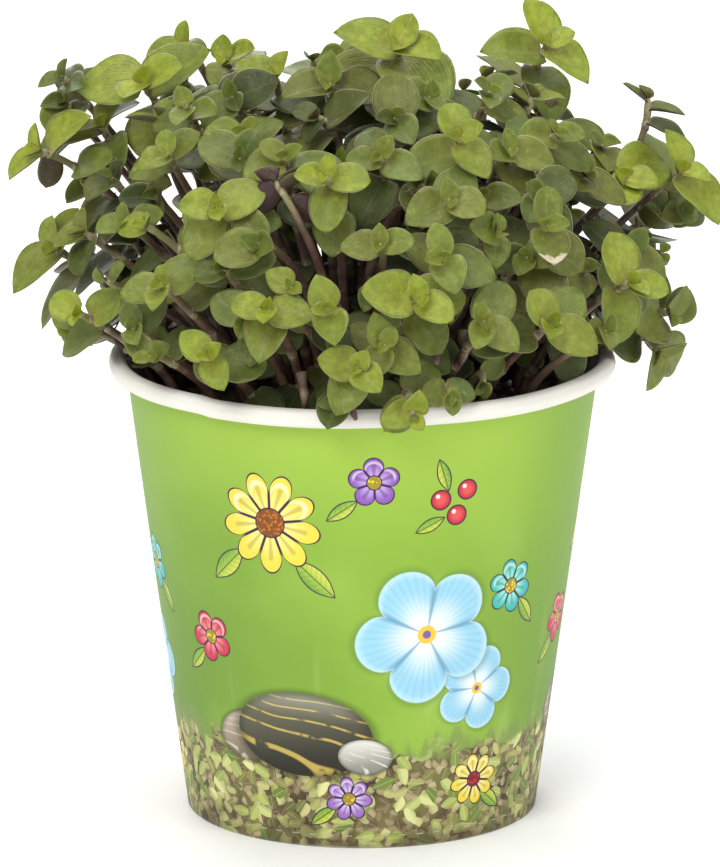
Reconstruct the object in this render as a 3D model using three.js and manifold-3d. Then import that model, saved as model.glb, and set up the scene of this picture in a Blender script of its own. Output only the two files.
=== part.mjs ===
// Potted turtle vine: a domed cushion of leafy stems in a round paperboard cup, in millimetres, +Z up.
// The origin is on the surface it stands on, under the middle of the cup, and -Y faces the viewer.
import * as THREE from "three";
import { mergeVertices } from "three/addons/utils/BufferGeometryUtils.js";
import Module from "manifold-3d";

const wasm = await Module();
wasm.setup();

// Driving dimensions of the cup
const rimDiameter = 120;
const cupHeight = 109.5;
const footRadius = 41.4;
const throatRadius = 55.6;
const rollDiameter = 4.4;
const board = 0.7;
const hemHeight = 6;
const baseUnderside = 6.5;
const gap = 0.3;
const cupSides = 36;

// Driving dimensions of the soil
const soilLevel = 99.5;
const soilMound = 4;
const soilLump = 1.1;
const soilSides = 24;
const holeDepth = 12;

// Driving dimensions of the plant
const stemFootRadius = 1.2;
const stemTipRadius = 0.8;
const stemSides = 4;
const stemStep = 17;
const holeSides = 4;
const matureLeaf = 13.4;
const leafWidthShare = 0.88;
const bladeThickness = 1.2;
const leafFold = 0.16;
const rootSink = 0.5;
const neckReach = 1.4;
const neckHalf = 0.55;

// The dome that the tips of the shoots reach
const domeRadius = 70;
const domeHeight = 66;
const domeCentre = 118;
const fanDepth = 50;
const faceViewer = 1.4;
const faceUp = 20;
const faceSide = 0.6;
const rootRadius = 46;
const rootSpacing = 6.6;

// The view that the front shoots were measured in: the picture's middle and lens in pixels, how far off
// and at what height the middle is, and the tilt of the view
const viewMiddle = [361.9, 433.5];
const viewLens = 7686;
const viewDistance = 1813;
const viewHeight = 89.65;
const viewTilt = THREE.MathUtils.degToRad(13.6);

// Front shoots, left to right: where the tip shows (across, down), how far it is set back behind the dome's
// near face in millimetres, the size of its leaves, the turns in the picture of its first leaves, and, where
// they aren't the usual, how many leaves it has, how much it faces the viewer, how far its stem leans out
// and which of its leaves are missing
const frontShoots = [
  { at: [40, 151], back: 0, size: 1.2, turns: [80, 230, 5, 285], leaves: 5, face: 1, lean: 2.2, bare: [3] },
  { at: [56, 249], back: 0, size: 1.3, turns: [80, 35, 220, 150, 225], bare: [3] },
  { at: [62, 77], back: 4, size: 0.72, turns: [50, 200, 320, 120] },
  { at: [79, 314], back: 0, size: 0.88, turns: [290, 150, 235, 30], face: 2.2, bare: [2] },
  { at: [101, 126], back: 4, size: 0.98, turns: [250, 60, 190, 300, 150], face: 1.8 },
  { at: [125, 222], back: 8, size: 0.85, turns: [90, 180, 0, 250], bare: [3, 4] },
  { at: [142, 83], back: 0, size: 1.32, turns: [260, 2, 176, 28, 265], face: 2.6 },
  { at: [160, 284], back: 0, size: 0.88, turns: [60, 272, 190, 45, 280], bare: [4] },
  { at: [150, 356], back: 4, size: 0.75, turns: [200, 20, 150, 300], bare: [3] },
  { at: [168, 153], back: 2, size: 0.85, turns: [90, 222, 35, 190, 10], bare: [4, 5] },
  { at: [184, 44], back: 14, size: 0.95, turns: [85, 265, 185, 350], face: 2.2, bare: [3] },
  { at: [187, 106], back: 4, size: 0.8, turns: [115, 270, 325, 180] },
  { at: [207, 356], back: 0, size: 0.85, turns: [30, 135, 300, 195], bare: [3] },
  { at: [217, 207], back: 0, size: 0.95, turns: [290, 180, 20, 240, 355] },
  { at: [224, 60], back: 20, size: 1, turns: [95, 345, 205, 290], face: 2.2 },
  { at: [242, 134], back: 20, size: 0.9, turns: [10, 180, 250, 40] },
  { at: [268, 308], back: 0, size: 0.9, turns: [270, 175, 20, 258, 120], bare: [4, 5] },
  { at: [275, 76], back: 20, size: 1.05, turns: [60, 150, 250, 330], face: 1, bare: [2] },
  { at: [285, 158], back: 6, size: 0.8, turns: [20, 140, 200, 330] },
  { at: [291, 287], back: 3, size: 0.7, turns: [320, 145, 250, 60], bare: [3] },
  { at: [327, 177], back: 0, size: 0.92, turns: [80, 180, 355, 270, 120], bare: [7] },
  { at: [328, 309], back: 0, size: 0.88, turns: [200, 110, 280, 40], bare: [3, 4] },
  { at: [330, 84], back: 26, size: 1.3, turns: [90, 210, 330, 160], face: 2.2 },
  { at: [357, 368], back: 0, size: 0.85, turns: [60, 310, 165, 245], bare: [4, 5] },
  { at: [380, 158], back: 8, size: 0.9, turns: [60, 200, 330, 110, 250] },
  { at: [380, 245], back: 2, size: 0.85, turns: [90, 5, 180, 270], bare: [3, 4, 5] },
  { at: [384, 346], back: 2, size: 0.82, turns: [60, 110, 220, 330], bare: [5] },
  { at: [399, 46], back: 8, size: 1.45, turns: [70, 318, 174, 276, 198], face: 2.2 },
  { at: [413, 415], back: 0, size: 0.72, turns: [300, 85, 205, 240], face: 1 },
  { at: [418, 299], back: 0, size: 1.02, turns: [105, 325, 172, 15, 272, 205] },
  { at: [442, 258], back: 0, size: 0.88, turns: [200, 100, 290, 345] },
  { at: [449, 200], back: 3, size: 0.95, turns: [100, 335, 215, 60], bare: [4] },
  { at: [452, 397], back: 0, size: 0.56, turns: [90, 270, 20, 200], face: 1, bare: [2] },
  { at: [460, 138], back: 2, size: 1, turns: [20, 110, 300, 215, 20] },
  { at: [484, 322], back: 0, size: 0.92, turns: [120, 250, 320, 60], bare: [4] },
  { at: [490, 92], back: 12, size: 0.85, turns: [180, 255, 50, 340] },
  { at: [510, 150], back: 10, size: 0.9, turns: [100, 220, 350, 280] },
  { at: [547, 226], back: 0, size: 0.95, turns: [0, 90, 270, 200, 330], bare: [3] },
  { at: [549, 44], back: 6, size: 1.2, turns: [20, 112, 308, 196, 270], face: 2.2 },
  { at: [551, 323], back: 0, size: 1.1, turns: [250, 130, 330, 45, 190, 290], bare: [5] },
  { at: [557, 134], back: 4, size: 0.85, turns: [180, 5, 200, 330] },
  { at: [625, 180], back: 0, size: 1.3, turns: [345, 240, 50, 195, 150], face: 2.2 },
  { at: [630, 283], back: 0, size: 1, turns: [300, 350, 110, 250, 35] },
  { at: [648, 98], back: 8, size: 0.8, turns: [90, 178, 340, 300], leaves: 4, face: 0.1, lean: -0.3 },
  { at: [658, 352], back: 0, size: 1.05, turns: [30, 230, 320, 150, 50], face: 2 },
  { at: [669, 314], back: 2, size: 1.2, turns: [60, 15, 200, 100], face: 1 },
  { at: [682, 172], back: 4, size: 1.2, turns: [330, 120, 300, 200, 60], face: 2.2 },
];

// Back shoots stand at even turns on two tiers of the dome's far side
const backTiers = [
  { count: 6, height: 130, from: 14, to: 166, size: 1.1 },
  { count: 4, height: 154, from: 46, to: 134, size: 1.15 },
];

// A leafy stem's leaves from the tip down: distance from the tip, length as a share of a mature leaf,
// and the angle that the blade stands out from the stem, in degrees
const leafRanks = [
  { down: 0.4, length: 0.48, open: 46 },
  { down: 1.1, length: 0.7, open: 62 },
  { down: 2.8, length: 0.88, open: 73 },
  { down: 6, length: 1, open: 80 },
  { down: 10.5, length: 1.04, open: 84 },
  { down: 17, length: 1, open: 88 },
  { down: 25.5, length: 0.95, open: 92 },
  { down: 36, length: 0.9, open: 96 },
];
const leafTurn = 152;
const lightTurn = [0.15, 0.3, 0.45, 0.6, 0.75, 0.9, 1, 1];
const turnWander = 24;
const smallLeafRanks = 1;
const wholeRim = [0.17, 0.62];
const smallRim = [0.42];
const ribShare = 0.2;

// A leaf that would touch another shoot is tried again turned, lifted or smaller, and left off after these
const leafTries = [
  [0, 0, 1], [16, 0, 1], [-16, 0, 1], [0, 14, 1], [0, -14, 1], [30, 0, 1], [-30, 0, 1], [18, 16, 0.92],
  [-18, 16, 0.92], [18, -16, 0.92], [-18, -16, 0.92], [0, 0, 0.8], [38, 8, 0.8], [-38, 8, 0.8], [0, 26, 0.8],
  [0, -26, 0.8], [52, 0, 0.72], [-52, 0, 0.72],
];
const clearance = 0.45;

// Blades turn their faces to the light: up and outward, and on the near side to the viewer
const outwardLight = 0.5;
const viewerLight = 0.7;
const stemTries = [
  [0, 0], [4, 0], [-4, 0], [0, 4], [0, -4], [7, 0], [-7, 0], [5, 5], [-5, 5], [5, -5], [-5, -5], [10, 0],
  [-10, 0], [0, -8], [8, -6], [-8, -6], [13, 0], [-13, 0],
];

const degrees = THREE.MathUtils.degToRad;
const up = new THREE.Vector3(0, 0, 1);

// A fixed draw from 0 to 1 for a shoot, one of its leaves and one of their properties
function draw(shoot, leaf, property) {
  const s = Math.sin(shoot * 127.1 + leaf * 311.7 + property * 74.7) * 43758.5453;
  return s - Math.floor(s);
}

// A closed mesh as a manifold solid
function solidOf(geometry) {
  const plain = geometry.clone();
  for (const name of Object.keys(plain.attributes)) {
    if (name !== "position") plain.deleteAttribute(name);
  }
  const merged = mergeVertices(plain, 1e-4);
  return new wasm.Manifold(
    new wasm.Mesh({
      numProp: 3,
      vertProperties: merged.attributes.position.array,
      triVerts: new Uint32Array(merged.index.array),
    }),
  );
}

// A manifold solid as a three.js geometry
function geometryOf(solid) {
  const mesh = solid.getMesh();
  const places = new Float32Array(mesh.numVert * 3);
  for (let i = 0; i < mesh.numVert; i++) {
    places.set(mesh.vertProperties.subarray(i * mesh.numProp, i * mesh.numProp + 3), i * 3);
  }
  const geometry = new THREE.BufferGeometry();
  geometry.setAttribute("position", new THREE.BufferAttribute(places, 3));
  geometry.setIndex(new THREE.BufferAttribute(mesh.triVerts, 1));
  geometry.computeVertexNormals();
  return geometry;
}

// A ring of revolution about +Z from an outline of [radius, height] pairs, closed or ending on the axis
function turned(outline, sides) {
  const lathe = new THREE.LatheGeometry(outline.map(([r, z]) => new THREE.Vector2(r, z)), sides);
  return lathe.rotateX(Math.PI / 2);
}

// Outer radius of the cup's straight wall at a height
const wallTop = cupHeight - rollDiameter;
function wallRadius(height) {
  return footRadius + ((throatRadius - footRadius) * height) / wallTop;
}

// The wall: hem, foot, straight side, rolled rim and inner face, as one folded board
function makeCupWall() {
  const roll = rollDiameter / 2;
  const rollCentre = rimDiameter / 2 - roll;
  const slot = board + 2 * gap;
  const outline = [
    [footRadius - board, board],
    [footRadius - board - slot, board],
    [wallRadius(hemHeight) - board - slot, hemHeight],
    [wallRadius(hemHeight) - 2 * board - slot, hemHeight],
    [footRadius - 2 * board - slot, 0],
    [footRadius, 0],
    [throatRadius, wallTop + 0.4],
  ];
  const rollSteps = 7;
  for (let i = 0; i <= rollSteps; i++) {
    const turn = degrees(-115 + (i * 265) / rollSteps);
    outline.push([rollCentre + roll * Math.cos(turn), cupHeight - roll + roll * Math.sin(turn)]);
  }
  outline.push([throatRadius - board, cupHeight - roll], [footRadius - board, board]);
  return turned(outline, cupSides);
}

// The base: a disc with its flange turned down into the slot of the wall's hem
function makeCupBase() {
  const flangeFoot = board + gap;
  const top = baseUnderside + board;
  const outline = [
    [0, baseUnderside],
    [wallRadius(baseUnderside) - 2 * board - gap, baseUnderside],
    [wallRadius(flangeFoot) - 2 * board - gap, flangeFoot],
    [wallRadius(flangeFoot) - board - gap, flangeFoot],
    [wallRadius(top) - board - gap, top],
    [0, top],
  ];
  return turned(outline, cupSides);
}

// Height of the soil's surface: a low mound with lumps
function soilHeight(x, y) {
  const r = Math.hypot(x, y) / (throatRadius - board);
  const lumps = Math.sin(x * 0.31 + 1.3) * Math.cos(y * 0.27 - 0.4) + 0.5 * Math.sin(x * 0.73 - y * 0.61);
  return soilLevel + soilMound * (1 - r * r) + soilLump * lumps;
}

// The soil plug before its holes are cut
function makeSoil() {
  const floor = baseUnderside + board + gap;
  const shares = [0.55, 1];
  const places = [0, 0, floor, 0, 0, soilHeight(0, 0)];
  const rings = [];
  const addRing = (radiusAt, heightAt) => {
    const first = places.length / 3;
    for (let i = 0; i < soilSides; i++) {
      const turn = (i * 2 * Math.PI) / soilSides;
      const x = radiusAt * Math.cos(turn);
      const y = radiusAt * Math.sin(turn);
      places.push(x, y, heightAt(x, y));
    }
    rings.push(first);
  };
  const inner = (height) => (wallRadius(height) - board) * Math.cos(Math.PI / cupSides) - gap;
  addRing(inner(floor), () => floor);
  for (const share of [...shares].reverse()) addRing(inner(soilLevel - 3) * share, soilHeight);
  const faces = [];
  for (let i = 0; i < soilSides; i++) {
    const j = (i + 1) % soilSides;
    faces.push(0, rings[0] + j, rings[0] + i);
    for (let k = 0; k + 1 < rings.length; k++) {
      const [a, b] = [rings[k], rings[k + 1]];
      faces.push(a + i, a + j, b + j, a + i, b + j, b + i);
    }
    const last = rings[rings.length - 1];
    faces.push(last + i, last + j, 1);
  }
  return closedMesh(places, faces);
}

function closedMesh(places, faces) {
  const geometry = new THREE.BufferGeometry();
  geometry.setAttribute("position", new THREE.Float32BufferAttribute(places, 3));
  geometry.setIndex(faces);
  return geometry;
}

// A stem stands in a plain hole, a little wider than the stem
function makeHole(root) {
  const radius = (stemFootRadius + gap) / Math.cos(Math.PI / holeSides);
  const hole = new THREE.CylinderGeometry(radius + 0.3, radius, 2 * holeDepth, holeSides);
  return solidOf(hole.rotateX(Math.PI / 2).translate(root.x, root.y, soilHeight(root.x, root.y)));
}

// Where a front shoot's tip lies in space: on the dome's near face, behind the place where it shows
function frontTip({ at: [across, down], back, ...shoot }) {
  const slope = Math.tan(viewTilt);
  const squash = (domeRadius / domeHeight) ** 2;
  const tip = new THREE.Vector3(0, 0, viewHeight);
  for (let pass = 0; pass < 6; pass++) {
    const away = viewDistance + tip.y * Math.cos(viewTilt) - (tip.z - viewHeight) * Math.sin(viewTilt);
    const level = viewHeight + ((viewMiddle[1] - down) * away) / viewLens / Math.cos(viewTilt);
    tip.x = ((across - viewMiddle[0]) * away) / viewLens;
    const a = 1 + squash * slope * slope;
    const b = -2 * squash * slope * (level - domeCentre);
    const c = tip.x * tip.x + squash * (level - domeCentre) ** 2 - domeRadius ** 2;
    tip.y = (-b - Math.sqrt(Math.max(0, b * b - 4 * a * c))) / (2 * a) + back;
    tip.z = level - slope * tip.y;
  }
  return { tip, leaves: leafRanks.length, face: faceViewer, lean: faceSide, bare: [], ...shoot };
}

// The back shoots' tips, at even turns on each tier
function backTips() {
  const tips = [];
  backTiers.forEach(({ count, height, from, to, size }, tier) => {
    for (let i = 0; i < count; i++) {
      const turn = degrees(from + ((to - from) * i) / (count - 1));
      const reach = domeRadius * Math.sqrt(1 - ((height - domeCentre) / domeHeight) ** 2);
      const wander = draw(i, tier, 90) - 0.5;
      tips.push({
        tip: new THREE.Vector3(
          (reach + 4 * wander) * Math.cos(turn),
          (reach + 4 * wander) * Math.sin(turn),
          height + 16 * (draw(i, tier, 91) - 0.5),
        ),
        size: size * (0.9 + 0.2 * draw(i, tier, 92)),
        turns: [],
        leaves: leafRanks.length,
        face: 0,
        lean: faceSide,
        bare: [],
      });
    }
  });
  return tips;
}

// Roots fan out from a point under the soil, then push each other apart until they keep their spacing
function placeRoots(shoots) {
  const roots = shoots.map(({ tip }) => {
    const share = fanDepth / (Math.max(tip.z - soilLevel, 0) + fanDepth);
    const root = new THREE.Vector2(tip.x, tip.y).multiplyScalar(share);
    return root.clampLength(0, rootRadius);
  });
  for (let pass = 0; pass < 60; pass++) {
    for (let i = 0; i < roots.length; i++) {
      for (let j = i + 1; j < roots.length; j++) {
        const apart = roots[j].clone().sub(roots[i]);
        const short = rootSpacing - apart.length();
        if (short <= 0) continue;
        apart.setLength(short / 2);
        roots[j].add(apart);
        roots[i].sub(apart);
      }
    }
    roots.forEach((root) => root.clampLength(0, rootRadius));
  }
  return roots;
}

// The bends of a shoot's stem: up out of the soil, then over to the tip, which faces outward, up and to the
// viewer. Its middle is moved sideways and outward by the given millimetres, to pass its neighbours
function stemBends({ tip, face, lean }, root, index, [aside, outward]) {
  const foot = new THREE.Vector3(root.x, root.y, soilHeight(root.x, root.y));
  const height = tip.distanceTo(foot);
  const facing = new THREE.Vector3(lean * tip.x, tip.y, tip.z - soilLevel + faceUp).normalize();
  facing.y -= face;
  facing.normalize();
  facing.x += 0.36 * (draw(index, 0, 1) - 0.5);
  facing.y += 0.36 * (draw(index, 0, 2) - 0.5);
  facing.normalize();
  const rise = foot.clone().addScaledVector(up, 0.3 * height);
  const before = tip.clone().addScaledVector(facing, -0.34 * height);
  before.z = Math.max(before.z, cupHeight + 9);
  const away = new THREE.Vector3(tip.x, tip.y, 0).normalize();
  for (const point of [rise, before]) {
    point.addScaledVector(away, outward).add(new THREE.Vector3(-away.y, away.x, 0).multiplyScalar(aside));
  }
  const curve = new THREE.CubicBezierCurve3(foot, rise, before, tip);
  return curve.getPoints(Math.max(4, Math.round((1.1 * height) / stemStep)));
}

function stemRadius(share) {
  return stemFootRadius + (stemTipRadius - stemFootRadius) * share;
}

// Two directions square to the stem's, which turn little along it
function acrossStem(along) {
  const side = new THREE.Vector3(along.z, 0, -along.x).normalize();
  return [side, new THREE.Vector3().crossVectors(along, side)];
}

// A stem as a closed mesh, from the bottom of its hole through its bends to the tip
function makeStem(bends, extra) {
  const rows = [bends[0].clone().addScaledVector(up, gap - holeDepth), ...bends];
  const last = rows.length - 1;
  const places = [];
  const faces = [];
  rows.forEach((centre, k) => {
    const along = rows[Math.min(k + 1, last)].clone().sub(rows[Math.max(k - 1, 0)]).normalize();
    const [side, other] = acrossStem(along);
    const radius = stemRadius(Math.max(0, k - 1) / (last - 1)) + extra;
    for (let i = 0; i < stemSides; i++) {
      const turn = (i * 2 * Math.PI) / stemSides;
      const p = centre.clone().addScaledVector(side, radius * Math.cos(turn));
      p.addScaledVector(other, radius * Math.sin(turn));
      places.push(p.x, p.y, p.z);
    }
  });
  for (let i = 0; i < stemSides; i++) {
    const j = (i + 1) % stemSides;
    for (let k = 0; k < last; k++) {
      const a = k * stemSides;
      const b = a + stemSides;
      faces.push(a + i, a + j, b + j, a + i, b + j, b + i);
    }
    const top = last * stemSides;
    if (i > 0 && i + 1 < stemSides) faces.push(0, i + 1, i, top, top + i, top + i + 1);
  }
  return closedMesh(places, faces);
}

// The place at a distance down a stem from its tip, and the stem's direction there
function downStem(bends, down) {
  let k = bends.length - 1;
  let rest = down;
  while (k > 1 && rest > bends[k].distanceTo(bends[k - 1])) {
    rest -= bends[k].distanceTo(bends[k - 1]);
    k--;
  }
  const along = bends[k].clone().sub(bends[k - 1]).normalize();
  return { along, place: bends[k].clone().addScaledVector(along, -rest) };
}

// Half the width of a blade at a share of its length: broad near the stem, pointed at the tip
function halfWidth(share) {
  return 0.5 * leafWidthShare * 2.6 * share ** 0.6 * (1 - share) ** 0.8;
}

// A blade along +X with its upper face to +Z: a rim of flat points, and a rib point on each face, which the
// faces fan out from
function makeBlade(rimShares, length, droop, thickness) {
  const sag = (u) => -droop * length * u * u;
  const rim = (u, side) => {
    const half = halfWidth(u) * length;
    return [u * length, side * half, sag(u) + leafFold * half * 2];
  };
  const points = [[-rootSink, 0, 0], [neckReach, neckHalf, 0]];
  for (const u of rimShares) points.push(rim(u, 1));
  points.push([length, 0, sag(1)]);
  for (const u of [...rimShares].reverse()) points.push(rim(u, -1));
  points.push([neckReach, -neckHalf, 0]);
  const count = points.length;
  const rib = sag(ribShare);
  points.push([ribShare * length, 0, rib + thickness / 2], [ribShare * length, 0, rib - thickness / 2]);
  const faces = [];
  for (let i = 0; i < count; i++) {
    const j = (i + 1) % count;
    faces.push(i, count, j, j, count + 1, i);
  }
  return closedMesh(points.flat(), faces);
}

// The turn of a leaf round its stem: as measured in the view, or on from the last such leaf by a fixed step
function leafAzimuth({ turns }, side, other, index, rank) {
  const wander = turnWander * (draw(index, rank, 4) - 0.5);
  const last = Math.min(rank, turns.length - 1);
  if (last < 0) return 360 * draw(index, 0, 3) + rank * leafTurn + wander;
  const shown = degrees(turns[last]);
  const inView = new THREE.Vector3(1, 0, 0).multiplyScalar(Math.cos(shown));
  inView.addScaledVector(new THREE.Vector3(0, Math.sin(viewTilt), Math.cos(viewTilt)), Math.sin(shown));
  const azimuth = THREE.MathUtils.radToDeg(Math.atan2(inView.dot(other), inView.dot(side)));
  return rank === last ? azimuth : azimuth + (rank - last) * leafTurn + wander;
}

// Where a leaf sits: its root on the stem's axis, its blade turned round the stem and opened out from it
function leafMatrix(shoot, index, rank, [turnBy, openBy]) {
  const { down, open } = leafRanks[rank];
  const { along, place } = downStem(shoot.bends, down);
  const [side, other] = acrossStem(along);
  const turn = degrees(leafAzimuth(shoot, side, other, index, rank) + turnBy);
  const lean = degrees(open + 14 * (draw(index, rank, 5) - 0.5) + openBy);
  const out = side.multiplyScalar(Math.cos(turn)).addScaledVector(other, Math.sin(turn));
  const x = out.clone().multiplyScalar(Math.sin(lean)).addScaledVector(along, Math.cos(lean));
  const z = along.clone().multiplyScalar(Math.sin(lean)).addScaledVector(out, -Math.cos(lean));
  z.addScaledVector(shoot.light, lightTurn[rank]).normalize();
  x.addScaledVector(z, -x.dot(z)).normalize();
  const y = new THREE.Vector3().crossVectors(z, x);
  return new THREE.Matrix4().makeBasis(x, y, z).setPosition(place);
}

function leafLength(size, index, rank) {
  return matureLeaf * size * leafRanks[rank].length * (0.9 + 0.2 * draw(index, rank, 6));
}

function leafDroop(index, rank) {
  return 0.05 + 0.16 * draw(index, rank, 7) * Math.min(1, rank / 3);
}

const shoots = [...frontShoots.map(frontTip), ...backTips()];
for (const shoot of shoots) {
  shoot.light = new THREE.Vector3(shoot.tip.x, shoot.tip.y, 0).setLength(outwardLight);
  if (shoot.face > 0) shoot.light.y -= viewerLight;
  shoot.light.z = 1;
  shoot.light.normalize();
}
const roots = placeRoots(shoots);

function boxesMeet(a, b) {
  return [0, 1, 2].every((i) => a.min[i] <= b.max[i] && b.min[i] <= a.max[i]);
}

// The volume that a solid shares with the pieces of other shoots and with the given still pieces
function contactOf(solid, own, others) {
  const box = solid.boundingBox();
  let volume = 0;
  const pieces = [...others];
  shoots.forEach((shoot, index) => {
    if (index !== own) pieces.push(...shoot.pieces);
  });
  for (const piece of pieces) {
    if (boxesMeet(box, piece.boundingBox())) volume += solid.intersect(piece).volume();
  }
  return volume > 1e-4 ? volume : 0;
}

const cupWall = makeCupWall();
const cupBase = makeCupBase();
const soilPlug = makeSoil();
const soilCut = solidOf(soilPlug).subtract(wasm.Manifold.union(roots.map(makeHole)));
const still = [solidOf(cupWall), soilCut];

// Stems stand first, each by the first way that passes the ones before it
shoots.forEach((shoot) => {
  shoot.pieces = [];
});
shoots.forEach((shoot, index) => {
  let least = Infinity;
  for (const bend of stemTries) {
    const bends = stemBends(shoot, roots[index], index, bend);
    const guard = solidOf(makeStem(bends, clearance));
    const contact = contactOf(guard, index, [still[0]]);
    if (contact >= least) continue;
    least = contact;
    shoot.bends = bends;
    if (contact === 0) break;
  }
  shoot.length = shoot.bends.slice(1).reduce((sum, p, k) => sum + p.distanceTo(shoot.bends[k]), 0);
  shoot.pieces = [solidOf(makeStem(shoot.bends, 0))];
});

// Leaves go on rank by rank, so that every shoot has its tip leaves before any has its lower ones
leafRanks.forEach((_, rank) => {
  shoots.forEach((shoot, index) => {
    if (rank >= shoot.leaves || leafRanks[rank].down > shoot.length - 7) return;
    if (shoot.bare.includes(rank)) return;
    const rim = rank < smallLeafRanks ? smallRim : wholeRim;
    const length = leafLength(shoot.size, index, rank);
    const droop = leafDroop(index, rank);
    for (const attempt of leafTries) {
      const place = leafMatrix(shoot, index, rank, attempt);
      const size = length * attempt[2];
      const guard = makeBlade(rim, size + clearance, droop, bladeThickness + 2 * clearance);
      if (contactOf(solidOf(guard.applyMatrix4(place)), index, still) > 0) continue;
      const blade = makeBlade(rim, size, droop, bladeThickness);
      shoot.pieces.push(solidOf(blade.applyMatrix4(place)));
      return;
    }
  });
});

const finish = {
  cup: new THREE.MeshStandardMaterial({ color: 0x9fce4e, roughness: 0.45, side: THREE.DoubleSide }),
  base: new THREE.MeshStandardMaterial({ color: 0xf2f0e8, roughness: 0.7 }),
  soil: new THREE.MeshStandardMaterial({ color: 0x33251a, roughness: 0.95 }),
  leaf: new THREE.MeshStandardMaterial({ color: 0x77853f, roughness: 0.5 }),
};

const plant = new THREE.Group();
function addNode(name, geometry, material) {
  const mesh = new THREE.Mesh(geometry, material);
  mesh.name = name;
  plant.add(mesh);
}
addNode("cup_wall", cupWall, finish.cup);
addNode("cup_base", cupBase, finish.base);
addNode("soil", geometryOf(soilCut), finish.soil);
shoots.forEach((shoot, index) => {
  const name = "shoot_" + String(index + 1).padStart(2, "0");
  addNode(name, geometryOf(wasm.Manifold.union(shoot.pieces)), finish.leaf);
});

export default plant;
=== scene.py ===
import math

import bpy
import numpy as np
from mathutils import Matrix, Vector
from mathutils.bvhtree import BVHTree


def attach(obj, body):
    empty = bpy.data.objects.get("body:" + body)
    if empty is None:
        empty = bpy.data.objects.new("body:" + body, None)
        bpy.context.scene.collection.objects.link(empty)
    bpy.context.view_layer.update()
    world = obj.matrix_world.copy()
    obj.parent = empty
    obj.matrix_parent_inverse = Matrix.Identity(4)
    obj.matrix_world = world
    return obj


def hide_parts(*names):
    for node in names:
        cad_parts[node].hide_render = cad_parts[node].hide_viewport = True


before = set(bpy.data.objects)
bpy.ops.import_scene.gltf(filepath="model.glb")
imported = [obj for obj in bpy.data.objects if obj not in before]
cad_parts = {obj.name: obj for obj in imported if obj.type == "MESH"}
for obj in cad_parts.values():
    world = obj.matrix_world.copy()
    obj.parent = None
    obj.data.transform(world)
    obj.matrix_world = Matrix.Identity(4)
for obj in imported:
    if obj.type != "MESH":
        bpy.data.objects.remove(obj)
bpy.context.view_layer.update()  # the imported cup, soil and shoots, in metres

scene = bpy.context.scene
print("stage: frame loaded")


# camera: the photo's long lens, a little above the rim, centred on the cup
camera = {
    "lens": 319.1,
    "sensor": 36,
    "distance": 1.813,
    "tilt": math.radians(13.6),
    "lookAt": (-0.00044, 0, 0.08965),
}


def makeCamera(c):
    data = bpy.data.cameras.new("photoCamera")
    data.lens = c["lens"]
    data.sensor_width = c["sensor"]
    data.clip_start = 0.05
    data.clip_end = 100
    lens = bpy.data.objects.new("photoCamera", data)
    ahead = Vector((0, math.cos(c["tilt"]), -math.sin(c["tilt"])))
    lens.location = Vector(c["lookAt"]) - c["distance"] * ahead
    lens.rotation_euler = ahead.to_track_quat("-Z", "Y").to_euler()
    scene.collection.objects.link(lens)
    scene.camera = lens


makeCamera(camera)

# studio: softboxes above the front and sides over even daylight
studio = {
    "worldColour": (1.0, 1.0, 1.0),
    "worldStrength": 0.62,
    "floorColour": (0.92, 0.92, 0.91),
    "floorRoughness": 0.9,
    "floorHalf": 30,
    "aim": (0, 0, 0.11),
    "boxes": [
        {"name": "keyBox", "at": (-0.75, -1.75, 1.75), "size": 1.3, "watts": 34},
        {"name": "fillBox", "at": (1.5, -1.3, 1.1), "size": 1.2, "watts": 12},
        {"name": "topBox", "at": (0.1, 0.35, 2.1), "size": 1.5, "watts": 20},
        {"name": "backBox", "at": (-0.5, 1.9, 1.1), "size": 1.2, "watts": 16},
    ],
}


def makeStudio(s):
    world = bpy.data.worlds.new("studioWorld")
    world.use_nodes = True
    back = world.node_tree.nodes["Background"]
    back.inputs["Color"].default_value = (*s["worldColour"], 1)
    back.inputs["Strength"].default_value = s["worldStrength"]
    scene.world = world
    for box in s["boxes"]:
        data = bpy.data.lights.new(box["name"], "AREA")
        data.energy = box["watts"]
        data.size = box["size"]
        lamp = bpy.data.objects.new(box["name"], data)
        lamp.location = box["at"]
        aim = Vector(s["aim"]) - Vector(box["at"])
        lamp.rotation_euler = aim.to_track_quat("-Z", "Y").to_euler()
        scene.collection.objects.link(lamp)
    half = s["floorHalf"]
    mesh = bpy.data.meshes.new("studioFloor")
    corners = [(-half, -half, 0), (half, -half, 0), (half, half, 0), (-half, half, 0)]
    mesh.from_pydata(corners, [], [(0, 1, 2, 3)])
    floor = bpy.data.objects.new("studioFloor", mesh)
    scene.collection.objects.link(floor)
    paper = bpy.data.materials.new("floorPaper")
    paper.use_nodes = True
    shader = paper.node_tree.nodes["Principled BSDF"]
    shader.inputs["Base Color"].default_value = (*s["floorColour"], 1)
    shader.inputs["Roughness"].default_value = s["floorRoughness"]
    mesh.materials.append(paper)
    scene.view_settings.view_transform = "Standard"


makeStudio(studio)
print("stage: camera and studio")


# mesh helpers
def unit(v):
    return v / np.linalg.norm(v)


def makePiece(name, places, faces, materials, slots=None, extra=None):
    mesh = bpy.data.meshes.new(name)
    mesh.from_pydata((np.asarray(places, float) * 0.001).tolist(), [], faces)
    for material in materials:
        mesh.materials.append(material)
    if slots is not None:
        mesh.polygons.foreach_set("material_index", np.asarray(slots, np.int32))
    for key, values in (extra or {}).items():
        attribute = mesh.attributes.new(key, "FLOAT_VECTOR", "POINT")
        attribute.data.foreach_set("vector", np.asarray(values, np.float32).ravel())
    mesh.polygons.foreach_set("use_smooth", np.ones(len(mesh.polygons), bool))
    mesh.update()
    piece = bpy.data.objects.new(name, mesh)
    scene.collection.objects.link(piece)
    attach(piece, "root")
    return piece


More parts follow.
